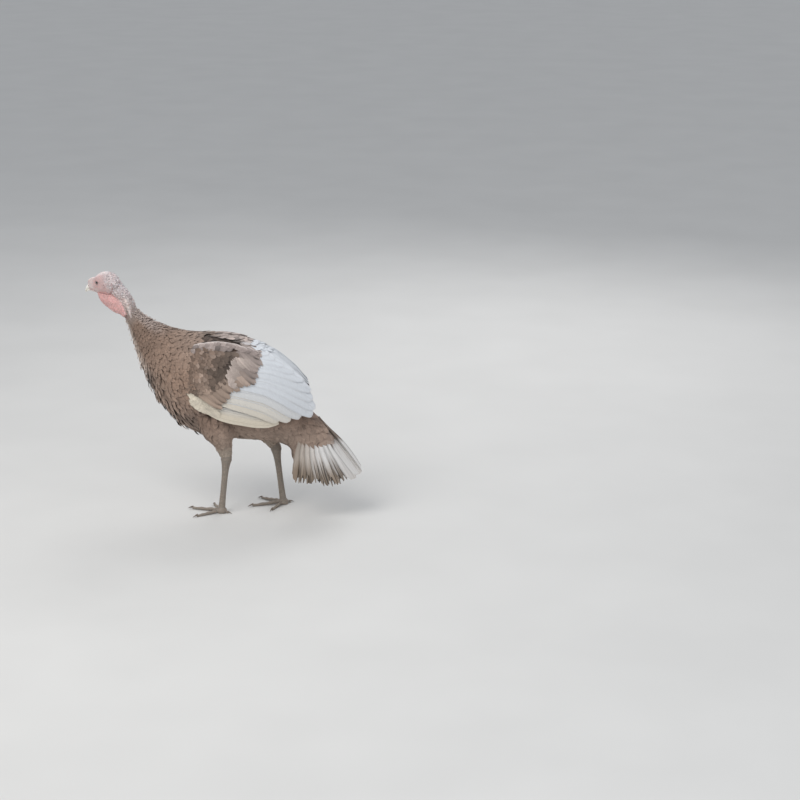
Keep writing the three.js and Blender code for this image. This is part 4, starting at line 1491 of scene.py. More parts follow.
def covert_coat(name, finish, seed):
    """Long feathers over and under the root of the tail."""
    rng = np.random.default_rng(seed)

    def skin(t, a):
        """The tail's root, run on straight past its last station."""
        held = np.minimum(t, 2.9)
        end = coverts(held, a, -7.0)
        return end + (t - held)[..., None] * (end - coverts(held - 0.1, a, -7.0)) / 0.1

    gap = lambda t: 12.5 + 0 * t
    rows = even_rows(skin, 0.7, 2.75, gap)
    roots = ring_roots(skin, rows, gap, rng)
    t, a = roots.T
    count = len(roots)
    length = 44 * rng.uniform(0.9, 1.12, count)
    width = 22 * rng.uniform(0.9, 1.1, count)
    lift = settled(length, gap(t), np.full(count, 6.5), rng.normal(0, 0.4, count))
    top, out, vane = feather(
        skin, roots, down_lie(0.1), length, width, lift, (0.01, 0.01), flip=-1.0, outline=LONG_CONTOUR,
        columns=7, turn=rng.normal(0, 0.07, count), seed=seed, rag=0.05,
    )
    base = lerp(body_markings(skin(t, a)), rgb(0.365, 0.265, 0.208), 0.75)
    above = bell(np.minimum(a, 2 * np.pi - a), 1.2) * ease(t, 0.9, 2.2)
    base = blend(base, rgb(0.455, 0.395, 0.36), 0.75 * above)
    tints = plumage(base, top, base_pale(base), base * 0.45, rng, 0.08, 0.5)
    return one_coat(name, finish, top, out, thinning(top, 0.6), tints, vane, bake_place(t, a, 3.0))


# -- wings --


def wing_feathers(side, roots, tips, width, lift, outline, columns, seed, bow=0.0, roll=0.0, rag=0.03,
                  camber=0.06):
    """Feathers laid over a folded wing from roots to tips, (N, 2) each: y, and down from the crown."""
    place = lambda y, q: vault(y, q, side)
    way = tips - roots
    share = np.linspace(0, 1, 13)[None, :]
    path = place(roots[:, :1] + way[:, :1] * share, roots[:, 1:] + way[:, 1:] * share)
    length = np.linalg.norm(np.diff(path, axis=1), axis=2).sum(1)
    lie = lambda p, q, here, along, across: along * way[:, :1] + across * way[:, 1:]
    return feather(
        place, roots, lie, length, width, lift, (2.0, 2.0), flip=-side, outline=outline, columns=columns,
        seed=seed, rag=rag, camber=camber, roll=roll * side, bow=bow * side, turn=-bow * side / 2,
    )


def wing_bake(roots):
    """Where a root lies on the vault's unwrap: along the wing, and across the back from side to side."""
    return beside(0.06 + 0.88 * (roots[:, 0] + 180) / 380, 0.5 + 0.44 * roots[:, 1] / 300)


def steady(low, high):
    """Heights that rise evenly along a feather."""
    return lambda share: low[:, None] + (high - low)[:, None] * share[None] ** 0.7


def quill_outline(rows, base, widest):
    """A flight feather's outline: broad, nearly straight sides and a round tip."""
    s = 1 - (1 - np.linspace(0, 1, rows)) ** 1.35
    tip = np.sqrt(np.clip(1 - ((s - 0.8) / 0.215) ** 2 * (s > 0.8), 0, 1))
    broad = lerp(base, 1.0, ease(s, 0, widest)) * tip
    broad[-1] = 0.16
    return beside(s, broad)


QUILL_DEPTH = 0.8


def wing_quills(name, side, finish, seed, *nodes):
    """White secondaries over the cream primaries that show below them, and tertials over the back."""
    rng = np.random.default_rng(seed)
    coat = Coat()
    rows, columns = 30, 13

    def add(roots, tips, width, lift, outline, tint, radius, **shape):
        top, out, vane = wing_feathers(side, roots, tips, width, lift, outline, columns, seed, **shape)
        coat.add(top, out, thinning(top, QUILL_DEPTH, 1.4, 0.5), tint, vane, wing_bake(roots))
        middle = columns // 2
        radii = np.linspace(radius, 0.25, top.shape[1])
        shaft = tint[:, :, middle].mean((0, 1)) * 0.95
        coat_shaft(coat, top[:, :, middle], out, radii, shaft, wing_bake(roots))

    # Tertials: long, one over the next from the back's middle outwards, drooping at the tips.
    number = 5
    k = np.arange(number)
    roots = beside(-26.0 + 6 * k, 8.0 + 9.5 * k)
    tips = beside([158.0, 160, 158, 152, 146], [3.0, 10, 18, 27, 36])
    outline = quill_outline(rows, 0.6, 0.3)
    base = -3.4 + 0.7 * k if side > 0 else -2.3 + 1.1 * k

    def over_back(share):
        rise = base[:, None] + 0.8 * share[None]
        return rise - lerp(9, 5, k / 4)[:, None] * ease(share, 0.72, 1.0)[None]

    tint = quill_tint(WHITE, number, rows, columns, rng, 0.5)
    add(roots, tips, np.full(number, 30.0), over_back, outline, tint, 1.3, rag=0.01, camber=0.03)
    # Primaries, from the highest down, each lower one outside.
    outline = quill_outline(rows, 0.4, 0.35)
    for i in range(number - 1, -1, -1):
        t = outline[:, 0] * (1.0 - 0.035 * i)
        low, high = hand_low(t), hand_high(t)
        path = lerp(low, high, 0.16 + 0.15 * (i + 0.5))
        way = unit(np.gradient(path, axis=0))
        over = beside(-way[:, 1], way[:, 0])
        half = 10.5 * outline[:, 1] * lerp(0.75, 1.0, ease(t, 0, 0.5))
        j = np.linspace(-1, 1, 11)
        flat = path[:, None] + over[:, None] * (half[:, None] * j)[..., None]
        edge = (low[:, None] + over[:, None] * 0.3)[..., 1]
        flat[..., 1] = np.maximum(flat[..., 1], lerp(edge, flat[..., 1], 0.25))
        top = wing(flat[..., 0], flat[..., 1], side)
        _, _, _, out = slopes(lambda y, z: wing(y, z, side), path[:, 0], path[:, 1], (0.5, 0.5))
        out = out * side
        rise = 2.6 - 3.8 * ease(t, 0.05, 0.35) - 0.9 * i
        top = top + out[:, None] * (rise[:, None] + 0.5 * (-j)[None])[..., None]
        vane = beside(half[:, None] * j, (t * 290)[:, None] + 0 * j)[None] * MM
        tint = quill_tint(lerp(CREAM, WHITE, 0.12 * i), 1, rows, len(j), rng, 0.0)
        top, out, root = top[None], out[None], wing_bake(vault_place(path[:1]))
        coat.add(top, out, thinning(top, QUILL_DEPTH, 1.4, 0.5), tint, vane, root)
        coat_shaft(coat, top[:, :, 5], out, np.linspace(1.3, 0.25, rows), CREAM * 0.9, root)
    # Secondaries, from the lowest up, each one lying over the one below.
    number = 12
    n = np.arange(number)
    seen = arm_rear((n + 0.5) / number)
    ends = quill_tips(n / (number - 1.0) * 0.985)
    far = 0.17 * ease(n, 0, 3) * (1 - 0.5 * ease(n, 7, 10)) if side < 0 else 0 * n
    reach = np.interp(n, [2, 6, 9, 11], [0.99, 0.965, 0.95, 0.95]) - far
    ends = seen + (ends - seen) * reach[:, None]
    starts = seen - unit(ends - seen) * 42
    roots, tips = vault_place(starts), vault_place(ends)
    tips[:, 1] = np.maximum(tips[:, 1], 20 if side > 0 else 44) + 6 * ease(n, 5.5, 8.5)
    width = np.interp(n, [0, 3, 6, 8, 11], [32, 36, 37, 38, 36])
    base = 0.4 + 0.3 * n
    outline = quill_outline(rows, 0.55, 0.45)
    tint = quill_tint(WHITE, number, rows, columns, rng, 0.5)
    lower = ease(-n, -3, 0)[:, None, None, None]
    tint = lerp(tint, tint * (CREAM / WHITE), lower * 0.8)
    lift = steady(base * 0.4, base * 0.35 + 1.2)
    add(roots, tips, width, lift, outline, tint, 1.4, bow=0.1, roll=-0.085, rag=0.008, camber=0.05)
    return coat.build(name, finish, "white_plumage", *nodes)


def quill_tint(base, count, rows, columns, rng, painted_shading):
    """A white quill: a faint grey painted shadow along its covered edge, streaks along its barbs."""
    s = np.linspace(0, 1, rows)[None, :, None, None]
    w = np.linspace(-1, 1, columns)[None, None, :, None]
    streaks = 1 + rng.normal(0, 0.012, (count, 1, columns, 1))
    tint = base * np.ones((count, rows, columns, 1)) * streaks
    tint = tint * (1 + rng.normal(0, 0.022, (count, 1, 1, 1)))
    # Painted shadow: grey along the covered edge, towards the tip.
    shade = painted_shading * 0.75 * ease(np.abs(w), 0.62, 1.0) * ease(s, 0.35, 0.85)
    worn = 0.14 * ease(s, 0.93, 1.0)
    return lerp(lerp(tint, SHADOW_GREY, shade), DIRTY * 1.8, worn)


def coat_shaft(coat, path, out, radii, tint, roots):
    """The shaft that stands up along the middle of a quill: a slim half-round rib."""
    count, rows = path.shape[:2]
    way = unit(np.gradient(path, axis=1))
    side = np.cross(out, way)
    j = np.linspace(-1, 1, 5)
    high = np.sqrt(np.clip(1 - j**2, 0, 1)) * 0.8 + 0.05
    r = np.broadcast_to(radii, (count, rows))[..., None, None]
    top = path[:, :, None] + r * (side[:, :, None] * j[:, None] + out[:, :, None] * high[:, None])
    tints = np.ones((count, rows, 5, 1)) * tint
    vane = np.zeros((count, rows, 5, 2))
    vane[..., 0] = 0.004
    coat.add(top, out, np.full((count, rows), 0.3) * radii[None], tints, vane, roots)


def covert_way(at):
    """The way coverts point, in the side view, at shares from the wing's lower edge to its upper one."""
    fall = np.radians(np.interp(at, [0, 0.12, 0.3, 0.55, 0.8, 1.0], [27, 41, 46, 43, 31, 17]))
    return beside(np.cos(fall), -np.sin(fall))


def wing_coat(name, side, finish, seed):
    """Coverts in rows from the leading edge to the white quills, and the scapulars over the top."""
    rng = np.random.default_rng(seed)
    coat = Coat()

    def varied(spread, count):
        """A factor near 1 for each feather."""
        return 1 + rng.normal(0, spread, (count, 1))

    def lay(roots, tips, width, low, high, outline, columns, tint, pale, edge, dark=0.55, edge_shadow=0.0,
            pale_and_lit_crest=0.0, **shape):
        none = np.zeros(len(roots))
        top, out, vane = wing_feathers(
            side, roots, tips, width + none, steady(low + none, high + none), outline, columns,
            rng.integers(1 << 30), **shape,
        )
        tints = plumage(tint, top, pale, tint * dark, rng, 0.07, edge)
        up = np.linspace(-1, 1, columns)[None, None, :, None] * side
        s = np.linspace(0, 1, top.shape[1])[None, :, None, None]
        own = rng.uniform(0.2, 1.0, (len(roots), 1, 1, 1))
        # Painted shadow: each feather darker along its lower edge towards the tip, where it meets the next.
        tints = tints * (1 - edge_shadow * own * ease(-up, 0.05, 0.9) * ease(s, 0.35, 0.9))
        # The upper edge near the root, paler: partly the feather's own colour, partly a painted highlight.
        tints = lerp(tints, PALE_AND_LIT_EDGE, pale_and_lit_crest * ease(up, 0.45, 1.0) * ease(s, 0.0, 0.3))
        coat.add(top, out, thinning(top, 0.6, 1.2, 0.4), tints, vane, wing_bake(roots))

    def add(starts, ends, *sizes, **shape):
        lay(vault_place(starts), vault_place(ends), *sizes, **shape)

    # Greater coverts: long feathers over the bases of the quills, square to the edge that their tips make.
    number = 17
    v = np.linspace(0.02, 0.98, number)
    ends = arm_rear(v) + covert_way(v) * rng.normal(0.5, 3.4, (number, 1))
    long = np.interp(v, [0, 0.15, 0.6, 1], [92, 80, 74, 66])
    starts = ends - covert_way(v) * long[:, None]
    tone = np.interp(v, [0, 0.4, 0.55, 1], [0.0, 0.15, 0.85, 1.0])[:, None]
    tint = lerp(rgb(0.365, 0.272, 0.213), rgb(0.365, 0.303, 0.276), tone) * varied(0.12, number)
    starts[:2, 1] -= 4
    width = np.interp(v, [0, 0.3, 1], [19, 21, 23]) * rng.uniform(0.9, 1.1, number)
    add(
        starts, ends, width, 2.4, 4.4 + 0.02 * np.arange(number), LONG_CONTOUR, 9, tint,
        tint * lerp(1.2, 1.35, tone), 0.75, 0.75, 0.95, roll=-0.15, bow=0.1, rag=0.06,
    )
    # Median and lesser coverts, row by row towards the leading edge.
    rows = 13
    for i in range(rows):
        share = 0.95 * (1.0 - (i + 0.5) / rows)
        line = lambda k: lerp(arm_front(k), covert_base(k), share)
        k = np.linspace(0, 1, 200)
        run = run_along(line(k))
        count = max(4, int(run[-1] / lerp(7.5, 10.5, share)))
        at = np.interp((np.arange(count) + 0.25 + 0.5 * (i % 2)) / count * run[-1], run, k)
        starts = line(at) + rng.normal(0, 1.8, (count, 2))
        stretch = lerp(17, 26, share) * rng.uniform(0.82, 1.18, count)
        starts = starts - covert_way(at) * (0.25 * stretch)[:, None]
        ends = starts + covert_way(at) * stretch[:, None]
        place = wing(*starts.T)
        cloud = noise_at(place, 24, 6.0)[:, None] + 0.6 * noise_at(place, 9, 2.0)[:, None]
        upper = ease(at, 0.38, 0.66)[:, None]
        tint = lerp(WING_FRONT * lerp(1.0, 0.82, upper), rgb(0.195, 0.14, 0.108), ease(share, 0.1, 0.42))
        tint = lerp(tint, rgb(0.125, 0.093, 0.074), ease(share, 0.42, 0.74) * upper)
        tint = lerp(tint, rgb(0.27, 0.2, 0.157), ease(share, 0.5, 0.8) * (1 - upper))
        spot = (rng.uniform(0, 1, count) < 0.12 * (share < 0.6))[:, None]
        tint = np.where(spot, lerp(tint, PALE_TAUPE, 0.32), tint) * (1 + 0.75 * cloud) * varied(0.08, count)
        low = 3.0 + 0.22 * i + rng.normal(0, 0.2, count)
        width = lerp(12, 16, share) * rng.uniform(0.88, 1.12, count)
        add(starts, ends, width, low, low + 1.9, CONTOUR, 5, tint, tint * 1.3, 0.35, 0.72, rag=0.18)
    # A clump of pale webs that lies open over the dark coverts.
    number = 13
    ends = line_through(CLUMP_EDGE)(np.linspace(0, 1, number)) + rng.normal(0, 1.2, (number, 2))
    long = np.interp(np.arange(number), [0, 6, 12], [44, 40, 19]) * rng.uniform(0.9, 1.1, number)
    starts = ends + np.array([0.76, -0.65]) * long[:, None]
    tint = rgb(0.455, 0.378, 0.335) * varied(0.1, number)
    add(starts, ends, 15.0, 2.6, 7.2, LONG_CONTOUR, 7, tint, tint * 1.4, 0.6, 0.8, 0.3, rag=0.16, roll=0.08)
    # The wrist: small cream feathers round the bend of the wing and over the first quills.
    k = np.linspace(0, 1, 30)
    starts = arm_front(k) + np.array([2.0, 0])
    ends = starts + beside(15 + 0 * k, -6 - 2 * k)
    tint = blend(WING_FRONT, CREAM * 1.05, ease(-k, -0.16, -0.04))
    add(starts, ends, 9.5, 3.8, 5.6, CONTOUR, 5, tint, PALE_TAUPE * 1.1, 0.3, rag=0.14)
    number = 11
    for row, height in ((-0.25, 3.0), (0.12, 3.6), (0.55, 4.2), (0.95, 4.6), (1.3, 4.8)):
        k = np.linspace(0.0, 0.26, number) + 0.02 * row
        up = lerp(row, max(row, 0.35), ease(k, 0.08, 0.24))[:, None]
        starts = lerp(hand_low(k), hand_high(k), up)
        after = lerp(hand_low(k + 0.1), hand_high(k + 0.1), up)
        starts = starts + rng.normal(0, 0.8, (number, 2)) + np.array([-3.0, 1.5])
        ends = starts + unit(after - starts) * lerp(20, 42, ease(k, 0.05, 0.26))[:, None]
        fresh = ease(-k, -0.2, -0.02)
        tint = blend(CREAM * 0.97, CREAM * 1.12, fresh) * varied(0.06, number)
        low = lerp(0.5 - 1.6 * max(row, 0), height, fresh)
        width = lerp(13, 10, fresh)
        add(starts, ends, width, low, low + 0.3, CONTOUR, 5, tint, tint * 1.06, 0.4, 0.72, rag=0.14)
    # Breast feathers that lap over the front of the wing.
    number = 14
    for ahead, height in ((-20, -9.0), (-13, -7.0), (-6, -3.5), (1, 0.5), (8, 2.0)):
        k = (np.arange(number) + rng.uniform(0.2, 0.8, number)) / number * 0.7 + 0.14
        starts = arm_front(k) + np.array([ahead, 3.0]) + rng.normal(0, 2.0, (number, 2))
        ends = starts + beside(25 + 0 * k, lerp(-13, -6, k)) * rng.uniform(0.8, 1.2, (number, 1))
        tint = body_markings(wing(*starts.T)) * varied(0.07, number)
        pale = lerp(tint, PALE_TAUPE, 0.5)
        add(starts, ends, 12.0, height, 6.6, CONTOUR, 5, tint, pale, 0.3, 0.7, rag=0.18)
    # Near-black feathers laid low in the fold between the wing and the ridge of the back: painted shadow of
    # that crevice.
    for q, start, end in ((14, -126, -100), (20, -128, -96), (26, -130, -74), (32, -134, -8), (38, -136, -6)):
        y = np.arange(start, end, 8.0)
        y = y + rng.normal(0, 1.0, len(y))
        roots = beside(y, q + rng.normal(0, 1.0, len(y)))
        tint = rgb(0.075, 0.055, 0.045) * rng.uniform(0.6, 2.0, (len(y), 1))
        lay(roots, roots + np.array([28.0, 1.0]), 13.0, -2.0, 0.4, CONTOUR, 5, tint, tint, 0.3, rag=0.12)
    # Scapulars: a roll of pale feathers over the top of the wing, their upper edge paler still, partly its
    # own colour and partly a painted highlight of light from above.
    for points, count, long, wide, low, pale_and_lit_crest, tone in SCAPULARS:
        line = line_through(points)
        at = (np.arange(count) + rng.uniform(-0.15, 0.15, count) + 0.3) / count
        roots = line(at) + rng.normal(0, 0.9, (count, 2))
        way = unit(line(np.minimum(at + 0.02, 1.0)) - line(at - 0.02)) + np.array([0, 0.14])
        tips = roots + way * long * rng.uniform(0.85, 1.15, (count, 1))
        tint = rgb(1.0, 0.82, 0.75) * tone * varied(0.12, count)
        raised = 2.5 if side < 0 else 0.0
        height = low + raised - (raised + 6.0) * ease(roots[:, 0], -44, -38) * (side < 0)
        width = wide * rng.uniform(0.9, 1.12, count)
        lay(
            roots, tips, width, height - 1.5, height + 1.6, LONG_CONTOUR, 7, tint, tint * 1.35, 0.7, 0.6, 0.5,
            pale_and_lit_crest, camber=0.26, roll=0.06, rag=0.07,
        )
    return coat.build(name, finish, "buff_plumage")


def mantle_coat(name, finish, seed):
    """Feathers over the middle of the back, between the wings, turning white towards the tail."""
    rng = np.random.default_rng(seed)
    coat = Coat()
    for i, y in enumerate(np.arange(-160.0, 14.0, 9.0)):
        spread = np.interp(y, [-160, -130, -112, -88, -78, -20, -5, 14], [22, 30, 20, 20, 27, 27, 31, 32])
        number = max(3, int(spread * 2 / 10))
        q = (np.arange(number) + 0.5 * (i % 2) + 0.25) / number * 2 * spread - spread
        q = q + rng.normal(0, 1.0, number)
        roots = beside(y + rng.normal(0, 1.6, number), q)
        snowy = ease(y + rng.normal(0, 1.5, number), -26, -20)
        long = np.interp(y, [-160, -30, -20, 14], [24, 27, 42, 46]) * rng.uniform(0.88, 1.12, number)
        tips = roots + beside(long, q * 0.08)
        start, end = (7, 12) if y < -98 else (23, 27)
        # At the sides of the ridge the feathers sink lower and are darkened: painted shadow of the fold
        # beside it.
        shaded = ease(np.abs(q), start, end) * (abs(y + 74) < 56)
        crown = np.interp(y, [-160, -140, -100, -60, -34, -22, 14], [1, 2.5, 4.5, 6.0, 5.0, 4.6, 4.4])
        low = crown - 3.2 + rng.normal(0, 0.6, number) * (1 - 0.8 * snowy) - 3.0 * shaded
        ends = np.interp(tips[:, 0], [20, 32, 45, 60], [6.2, 6.6, 4.0, 1.8])
        lift = steady(low, lerp(low + 4.6, ends, snowy))
        width = np.interp(y, [-160, -30, 14], [13, 16, 24]) * rng.uniform(0.88, 1.12, number)
        top, out, vane = wing_feathers(
            1, roots, tips, width, lift, CONTOUR, 7, rng.integers(1 << 30), rag=0.12
        )
        tone = lerp(rgb(0.265, 0.198, 0.16), rgb(0.43, 0.355, 0.318), ease(y, -115, -84))
        patch = rng.choice([0.5, 0.85, 1.0, 1.0, 1.25], number)[:, None]
        tone = tone * lerp(1.0, patch, ease(y, -150, -105)) * (1 - 0.72 * shaded[:, None])
        tone = blend(tone, WHITE * 0.97, snowy)
        tints = plumage(tone, top, tone * 1.2, tone * blend(0.5, 0.92, snowy), rng, 0.05, 0.4)
        coat.add(top, out, thinning(top, 0.6, 1.2, 0.4), tints, vane, wing_bake(roots))
    return coat.build(name, finish, "buff_plumage")


# -- tail --


def tail_frame(s):
    """For places s across the fan, -1 to 1: the way a quill points, its side and its upper face."""
    down = np.array([0, math.cos(TAIL_FALL), -math.sin(TAIL_FALL)])
    top = np.array([0, math.sin(TAIL_FALL), math.cos(TAIL_FALL)])
    share = np.abs(s)
    spread = (TAIL_SPREAD * share)[:, None]
    roof = lerp(*TAIL_ROOF, share)[:, None]
    sign = np.where(s < 0, -1.0, 1.0)[:, None]
    outward = sign * np.cos(roof) * X - np.sin(roof) * top
    quill = down * np.cos(spread) + outward * np.sin(spread)
    face = unit(np.cross(outward, down) * sign)
    return quill, unit(np.cross(face, quill)), face


def tail_coat(name, finish, seed, node):
    """Eighteen broad quills, the middle ones on top, with frayed and stained ends."""
    rng = np.random.default_rng(seed)
    count = TAIL_QUILLS
    coat = Coat()
    s = (2 * np.arange(count) + 1) / count - 1
    quill, side, face = tail_frame(s)
    columns, rows = 21, 34
    share = 1 - (1 - np.linspace(0, 1, rows)) ** 1.2
    j = np.linspace(-1, 1, columns)
    reach = (TAIL_LENGTH - TAIL_SHORTER * s**2) * rng.uniform(0.975, 1.01, count)
    start = 26.0
    broad = 23.0 * lerp(0.34, 1.0, ease(share, 0, 0.62)) * lerp(1.0, 0.9, ease(share, 0.82, 1.0))
    # The end is round, and worn into ragged tufts of barbs.
    round_end = 13 * np.abs(j) ** 2.4
    low = np.abs(s)
    aside = low[:, None, None, None]
    tufts = np.repeat(rng.uniform(0, 1, (count, columns // 2 + 1)), 2, axis=1)[:, :columns]
    worn = lerp(0.16, 1.0, ease(low, 0.12, 0.36))[:, None]
    wear = (tufts**1.6 * 24 + rng.uniform(0, 3.0, (count, columns))) * worn
    long = reach[:, None] - round_end - wear
    at = start + (long[:, None, :] - start) * share[None, :, None]
    across = j[None, None] * broad[None, :, None]
    across = across + np.sin(at / 21 + s[:, None, None] * 9) * 0.5
    stack = 3.4 * (1 - low)[:, None, None] + 0.75 * np.sign(s)[:, None, None] * j * -1.0
    dish = -0.06 * broad[None, :, None] * j**2 + rng.normal(0, 0.35, (count, 1, 1))
    droop = -5.0 * (share[None, :, None]) ** 2
    top = (
        TAIL_ROOT
        + quill[:, None, None] * at[..., None]
        + side[:, None, None] * across[..., None]
        + face[:, None, None] * (stack + dish + droop)[..., None]
    )
    out = np.broadcast_to(face[:, None], (count, rows, 3))
    q = (at / TAIL_LENGTH)[..., None]
    base = rgb(0.3, 0.228, 0.185)
    pale = rgb(0.6, 0.58, 0.56)
    near_top = 1 - ease(aside, 0.1, 0.3)
    streak = rng.normal(0, 1, (count, 1, columns, 1))
    brown_end = 0.3 + 0.15 * near_top + 0.02 * streak
    pale = lerp(pale * 1.16, rgb(0.54, 0.478, 0.42), ease(aside, 0.42, 0.8))
    tint = lerp(base * lerp(1.0, 0.68, near_top), pale, ease(q, brown_end, brown_end + 0.1))
    stained = (1 - near_top) * ease(q + 0.05 * streak, 0.56, 0.86)
    stained = np.clip(stained + 0.5 * (1 - near_top) * ease(aside, 0.75, 1.0), 0, 1)
    dirt = lerp(DIRTY * 0.95, DIRTY * 0.14, ease(streak, -0.2, 0.9) * ease(q, 0.62, 0.88))
    tint = lerp(tint, dirt, stained * 0.93)
    tint = lerp(tint, DIRTY * 0.16, (1 - near_top) * ease(streak, 0.9, 1.4) * ease(q, 0.6, 0.75))
    tint = lerp(tint, DIRTY * 1.7, near_top * 0.2 * ease(q, 0.95, 1.0))
    # Painted shadow: each quill darker along its edges where the quills overlap, most on the top ones.
    edge = ease(np.abs(j), 0.75, 1.0)[None, None, :, None]
    tint = lerp(tint, tint * lerp(0.62, 0.36, near_top), edge * 0.7)
    tint = tint * (1 + 0.05 * streak) * (1 + rng.normal(0, 0.04, (count, 1, 1, 1)))
    vane = beside(across, at) * MM
    roots = beside(0.5 + 0.44 * s, 0.5 + 0 * s)
    coat.add(top, out, thinning(top, 0.9, 1.5, 0.45), tint, vane, roots)
    middle = top[:, :, columns // 2]
    coat_shaft(coat, middle, out, np.linspace(1.6, 0.35, rows), rgb(0.48, 0.44, 0.41), roots)
    return coat.build(name, finish, "white_plumage", node)


# -- bill, eyes, claws, scutes --


def bill_piece(name, stations, node, finish):
    mesh = mesh_of(name, *form(head_form(stations, 1.9), 0, len(stations) - 1, 60, 56))
    points = places_of(mesh)
    f, u, w = head_frame(points)
    if "upper" in name:
        nostril = np.hypot((f - 50.2 + 0.45 * (u + 7.6)) / 3.4, (u + 7.6 - 0.2 * (f - 50.2)) / 1.25)
        pit = np.exp(-(nostril**4)) * (np.abs(w) > 2.5)
        flap = bell(nostril - 1.45, 0.35) * (np.abs(w) > 2.5) * (u > -8)
        points = points + normals_of(mesh) * (0.55 * flap - 2.0 * pit)[:, None]
        ridge = bell(w, 1.3) * (u > -12)
        points = points + UP * (0.35 * ridge * ease(-f, -66, -48))[:, None]
    else:
        pit = np.zeros(len(points))
    set_places(mesh, points)
    flesh = ease(-f + 0.9 * noise_at(points, 4, 1.0), -51, -45)[:, None]
    tint = lerp(HORN, FACE * 0.95, flesh)
    tint = blend(tint, rgb(0.74, 0.7, 0.6), ease(f, 58, 67))
    # Painted shade: the sunk nostril pit darkened.
    tint = blend(tint, rgb(0.08, 0.05, 0.05), 0.9 * ease(pit, 0.3, 0.9))
    tint = tint * (1 + 0.08 * noise_at(points, 3, 5.0))[:, None]
    return painted(name, mesh, tint, finish, "horn", node)


def eye_piece(name, side, node, finish):
    """An eyeball with a raised cornea, its pupil and iris looking straight out."""
    theta = np.concatenate([np.linspace(0.01, 0.75, 30), np.linspace(0.8, np.pi - 0.01, 24)])[:, None]
    a = circle(56)[None, :]
    radius = (EYE_RADIUS - 0.35) + 0.55 * bell(theta, 0.5) + 0 * a
    around = FORE * np.cos(a)[..., None] + UP * np.sin(a)[..., None]
    rings = SOCKET[side] + radius[..., None] * (
        side * LEFT * np.cos(theta)[..., None] + around * np.sin(theta)[..., None]
    )
    points, quads, tris = closed_rings(rings)
    mesh = mesh_of(name, points, quads, tris)
    away = unit(points - SOCKET[side])
    turn = np.degrees(np.arccos(np.clip(away @ LEFT * side, -1, 1)))
    dark, brown = rgb(0.03, 0.014, 0.008), rgb(0.07, 0.034, 0.018)
    iris = blend(dark, brown, ease(turn, 24, 40))
    tint = blend(rgb(0.005, 0.004, 0.004), iris, ease(turn, 21, 24))
    tint = blend(tint, rgb(0.035, 0.022, 0.018), ease(turn, 40, 46))
    return painted(name, mesh, tint, finish, "eye", node)


def claws(name, side, finish):
    points, quads, tris = joined([form(claw_form(side, toe), 0, 1, 20, 18) for toe in TOES])
    mesh = mesh_of(name, points, quads, tris)
    tint = rgb(0.155, 0.12, 0.092) * (1 + 0.25 * noise_at(points, 5, 3.0))[:, None]
    which = "left" if side > 0 else "right"
    return painted(name, mesh, tint, finish, "claw", *[f"claw_{which}_{toe}" for toe in TOES])


def plate_grid(place, middle_of, t0, t1, a0, a1, high):
    """One scute: a rounded plate over a patch of limb, low at its rim."""
    rows, columns = 6, 7
    r = np.linspace(-1, 1, rows)[:, None]
    c = np.linspace(-1, 1, columns)[None, :]
    squeeze_r = r * np.sqrt(1 - 0.22 * c**4)
    squeeze_c = c * np.sqrt(1 - 0.22 * r**4)
    t = (t0 + t1) / 2 + (t1 - t0) / 2 * squeeze_r
    a = (a0 + a1) / 2 + (a1 - a0) / 2 * squeeze_c
    here = place(t, a)
    rim = np.maximum(np.abs(r), np.abs(c))
    rise = high * (1 - rim**5) * (0.8 + 0.35 * r) - 0.25
    return here + unit(here - middle_of(t)) * rise[..., None]


def scutes(name, side, finish):
    """Plates round the shank, the largest in two rows down its front, and across the top of each toe."""
    shank = shank_form(side)
    coat = Coat()

    def add(place, middle_of, t0, t1, a0, a1, high, tint, strip=0.25):
        grid = plate_grid(place, middle_of, t0, t1, a0, a1, high)
        rows, columns = grid.shape[:2]
        out = unit(grid[:, columns // 2] - middle_of(np.linspace(t0, t1, rows)))
        tints = np.ones((1, rows, columns, 1)) * tint
        rim = np.maximum(np.abs(np.linspace(-1, 1, rows))[:, None], np.abs(np.linspace(-1, 1, columns))[None])
        tints = tints * lerp(1.0, 0.62, ease(rim, 0.6, 1.0))[None, ..., None]
        vane = np.zeros((1, rows, columns, 2))
        root = np.array([[0.05 + 0.9 * t0, strip + 0.045 * (a0 + a1) / 2]])
        coat.add(grid[None], out[None], np.full((1, rows), 0.7), tints, vane, root)

    rng = np.random.default_rng(SEED + side)
    shank_middle = lambda t: shank(t, np.zeros_like(t)) / 2 + shank(t, np.full_like(t, np.pi)) / 2
    # Plates: start and end round the shank, share of a step they are set over, height, darkest, lightest.
    front = [(-1.02, -0.03, 0, 0.75, 0.9, 1.2), (0.03, 1.02, 0.5, 0.75, 0.9, 1.2)]
    front += [(1.08, 1.75, 0, 0.5, 0.85, 1.1), (-1.75, -1.08, 0, 0.5, 0.85, 1.1)]
    back = [(a0, a1, 0, 0.4, 0.8, 1.05) for a0, a1 in ((1.82, 2.4), (2.45, 3.1), (3.2, 3.85), (3.9, 4.45))]
    edges = np.linspace(0.03, 0.96, 29)
    step = edges[1] - edges[0]
    for edges, gap, plates in ((edges, step * 0.06, front), (np.linspace(0.12, 0.94, 41), 0.002, back)):
        for start, end in zip(edges[:-1], edges[1:]):
            for a0, a1, over, high, dark, light in plates:
                over = over * step
                tint = LEG * rng.uniform(dark, light)
                add(shank, shank_middle, start + over + gap, end + over - gap, a0, a1, high, tint)
    for strip, (toe, (_, long, *_)) in zip((0.6, 0.7, 0.8, 0.9), TOES.items()):
        place = toe_form(side, toe)
        middle = lambda t, place=place: place(t, np.full_like(t, 0.0)) - Z * 4.0
        number = int(long / 3.3)
        edges_t = np.linspace(0.04 if toe != "hind" else 0.3, 0.985, number + 1)
        for i in range(number):
            tint = LEG * rng.uniform(0.9, 1.2)
            add(place, middle, edges_t[i] + 0.002, edges_t[i + 1] - 0.002, -0.95, 0.95, 0.6, tint, strip)
    return coat.build(name, finish, "leg")


# -- bristles, by geometry nodes --


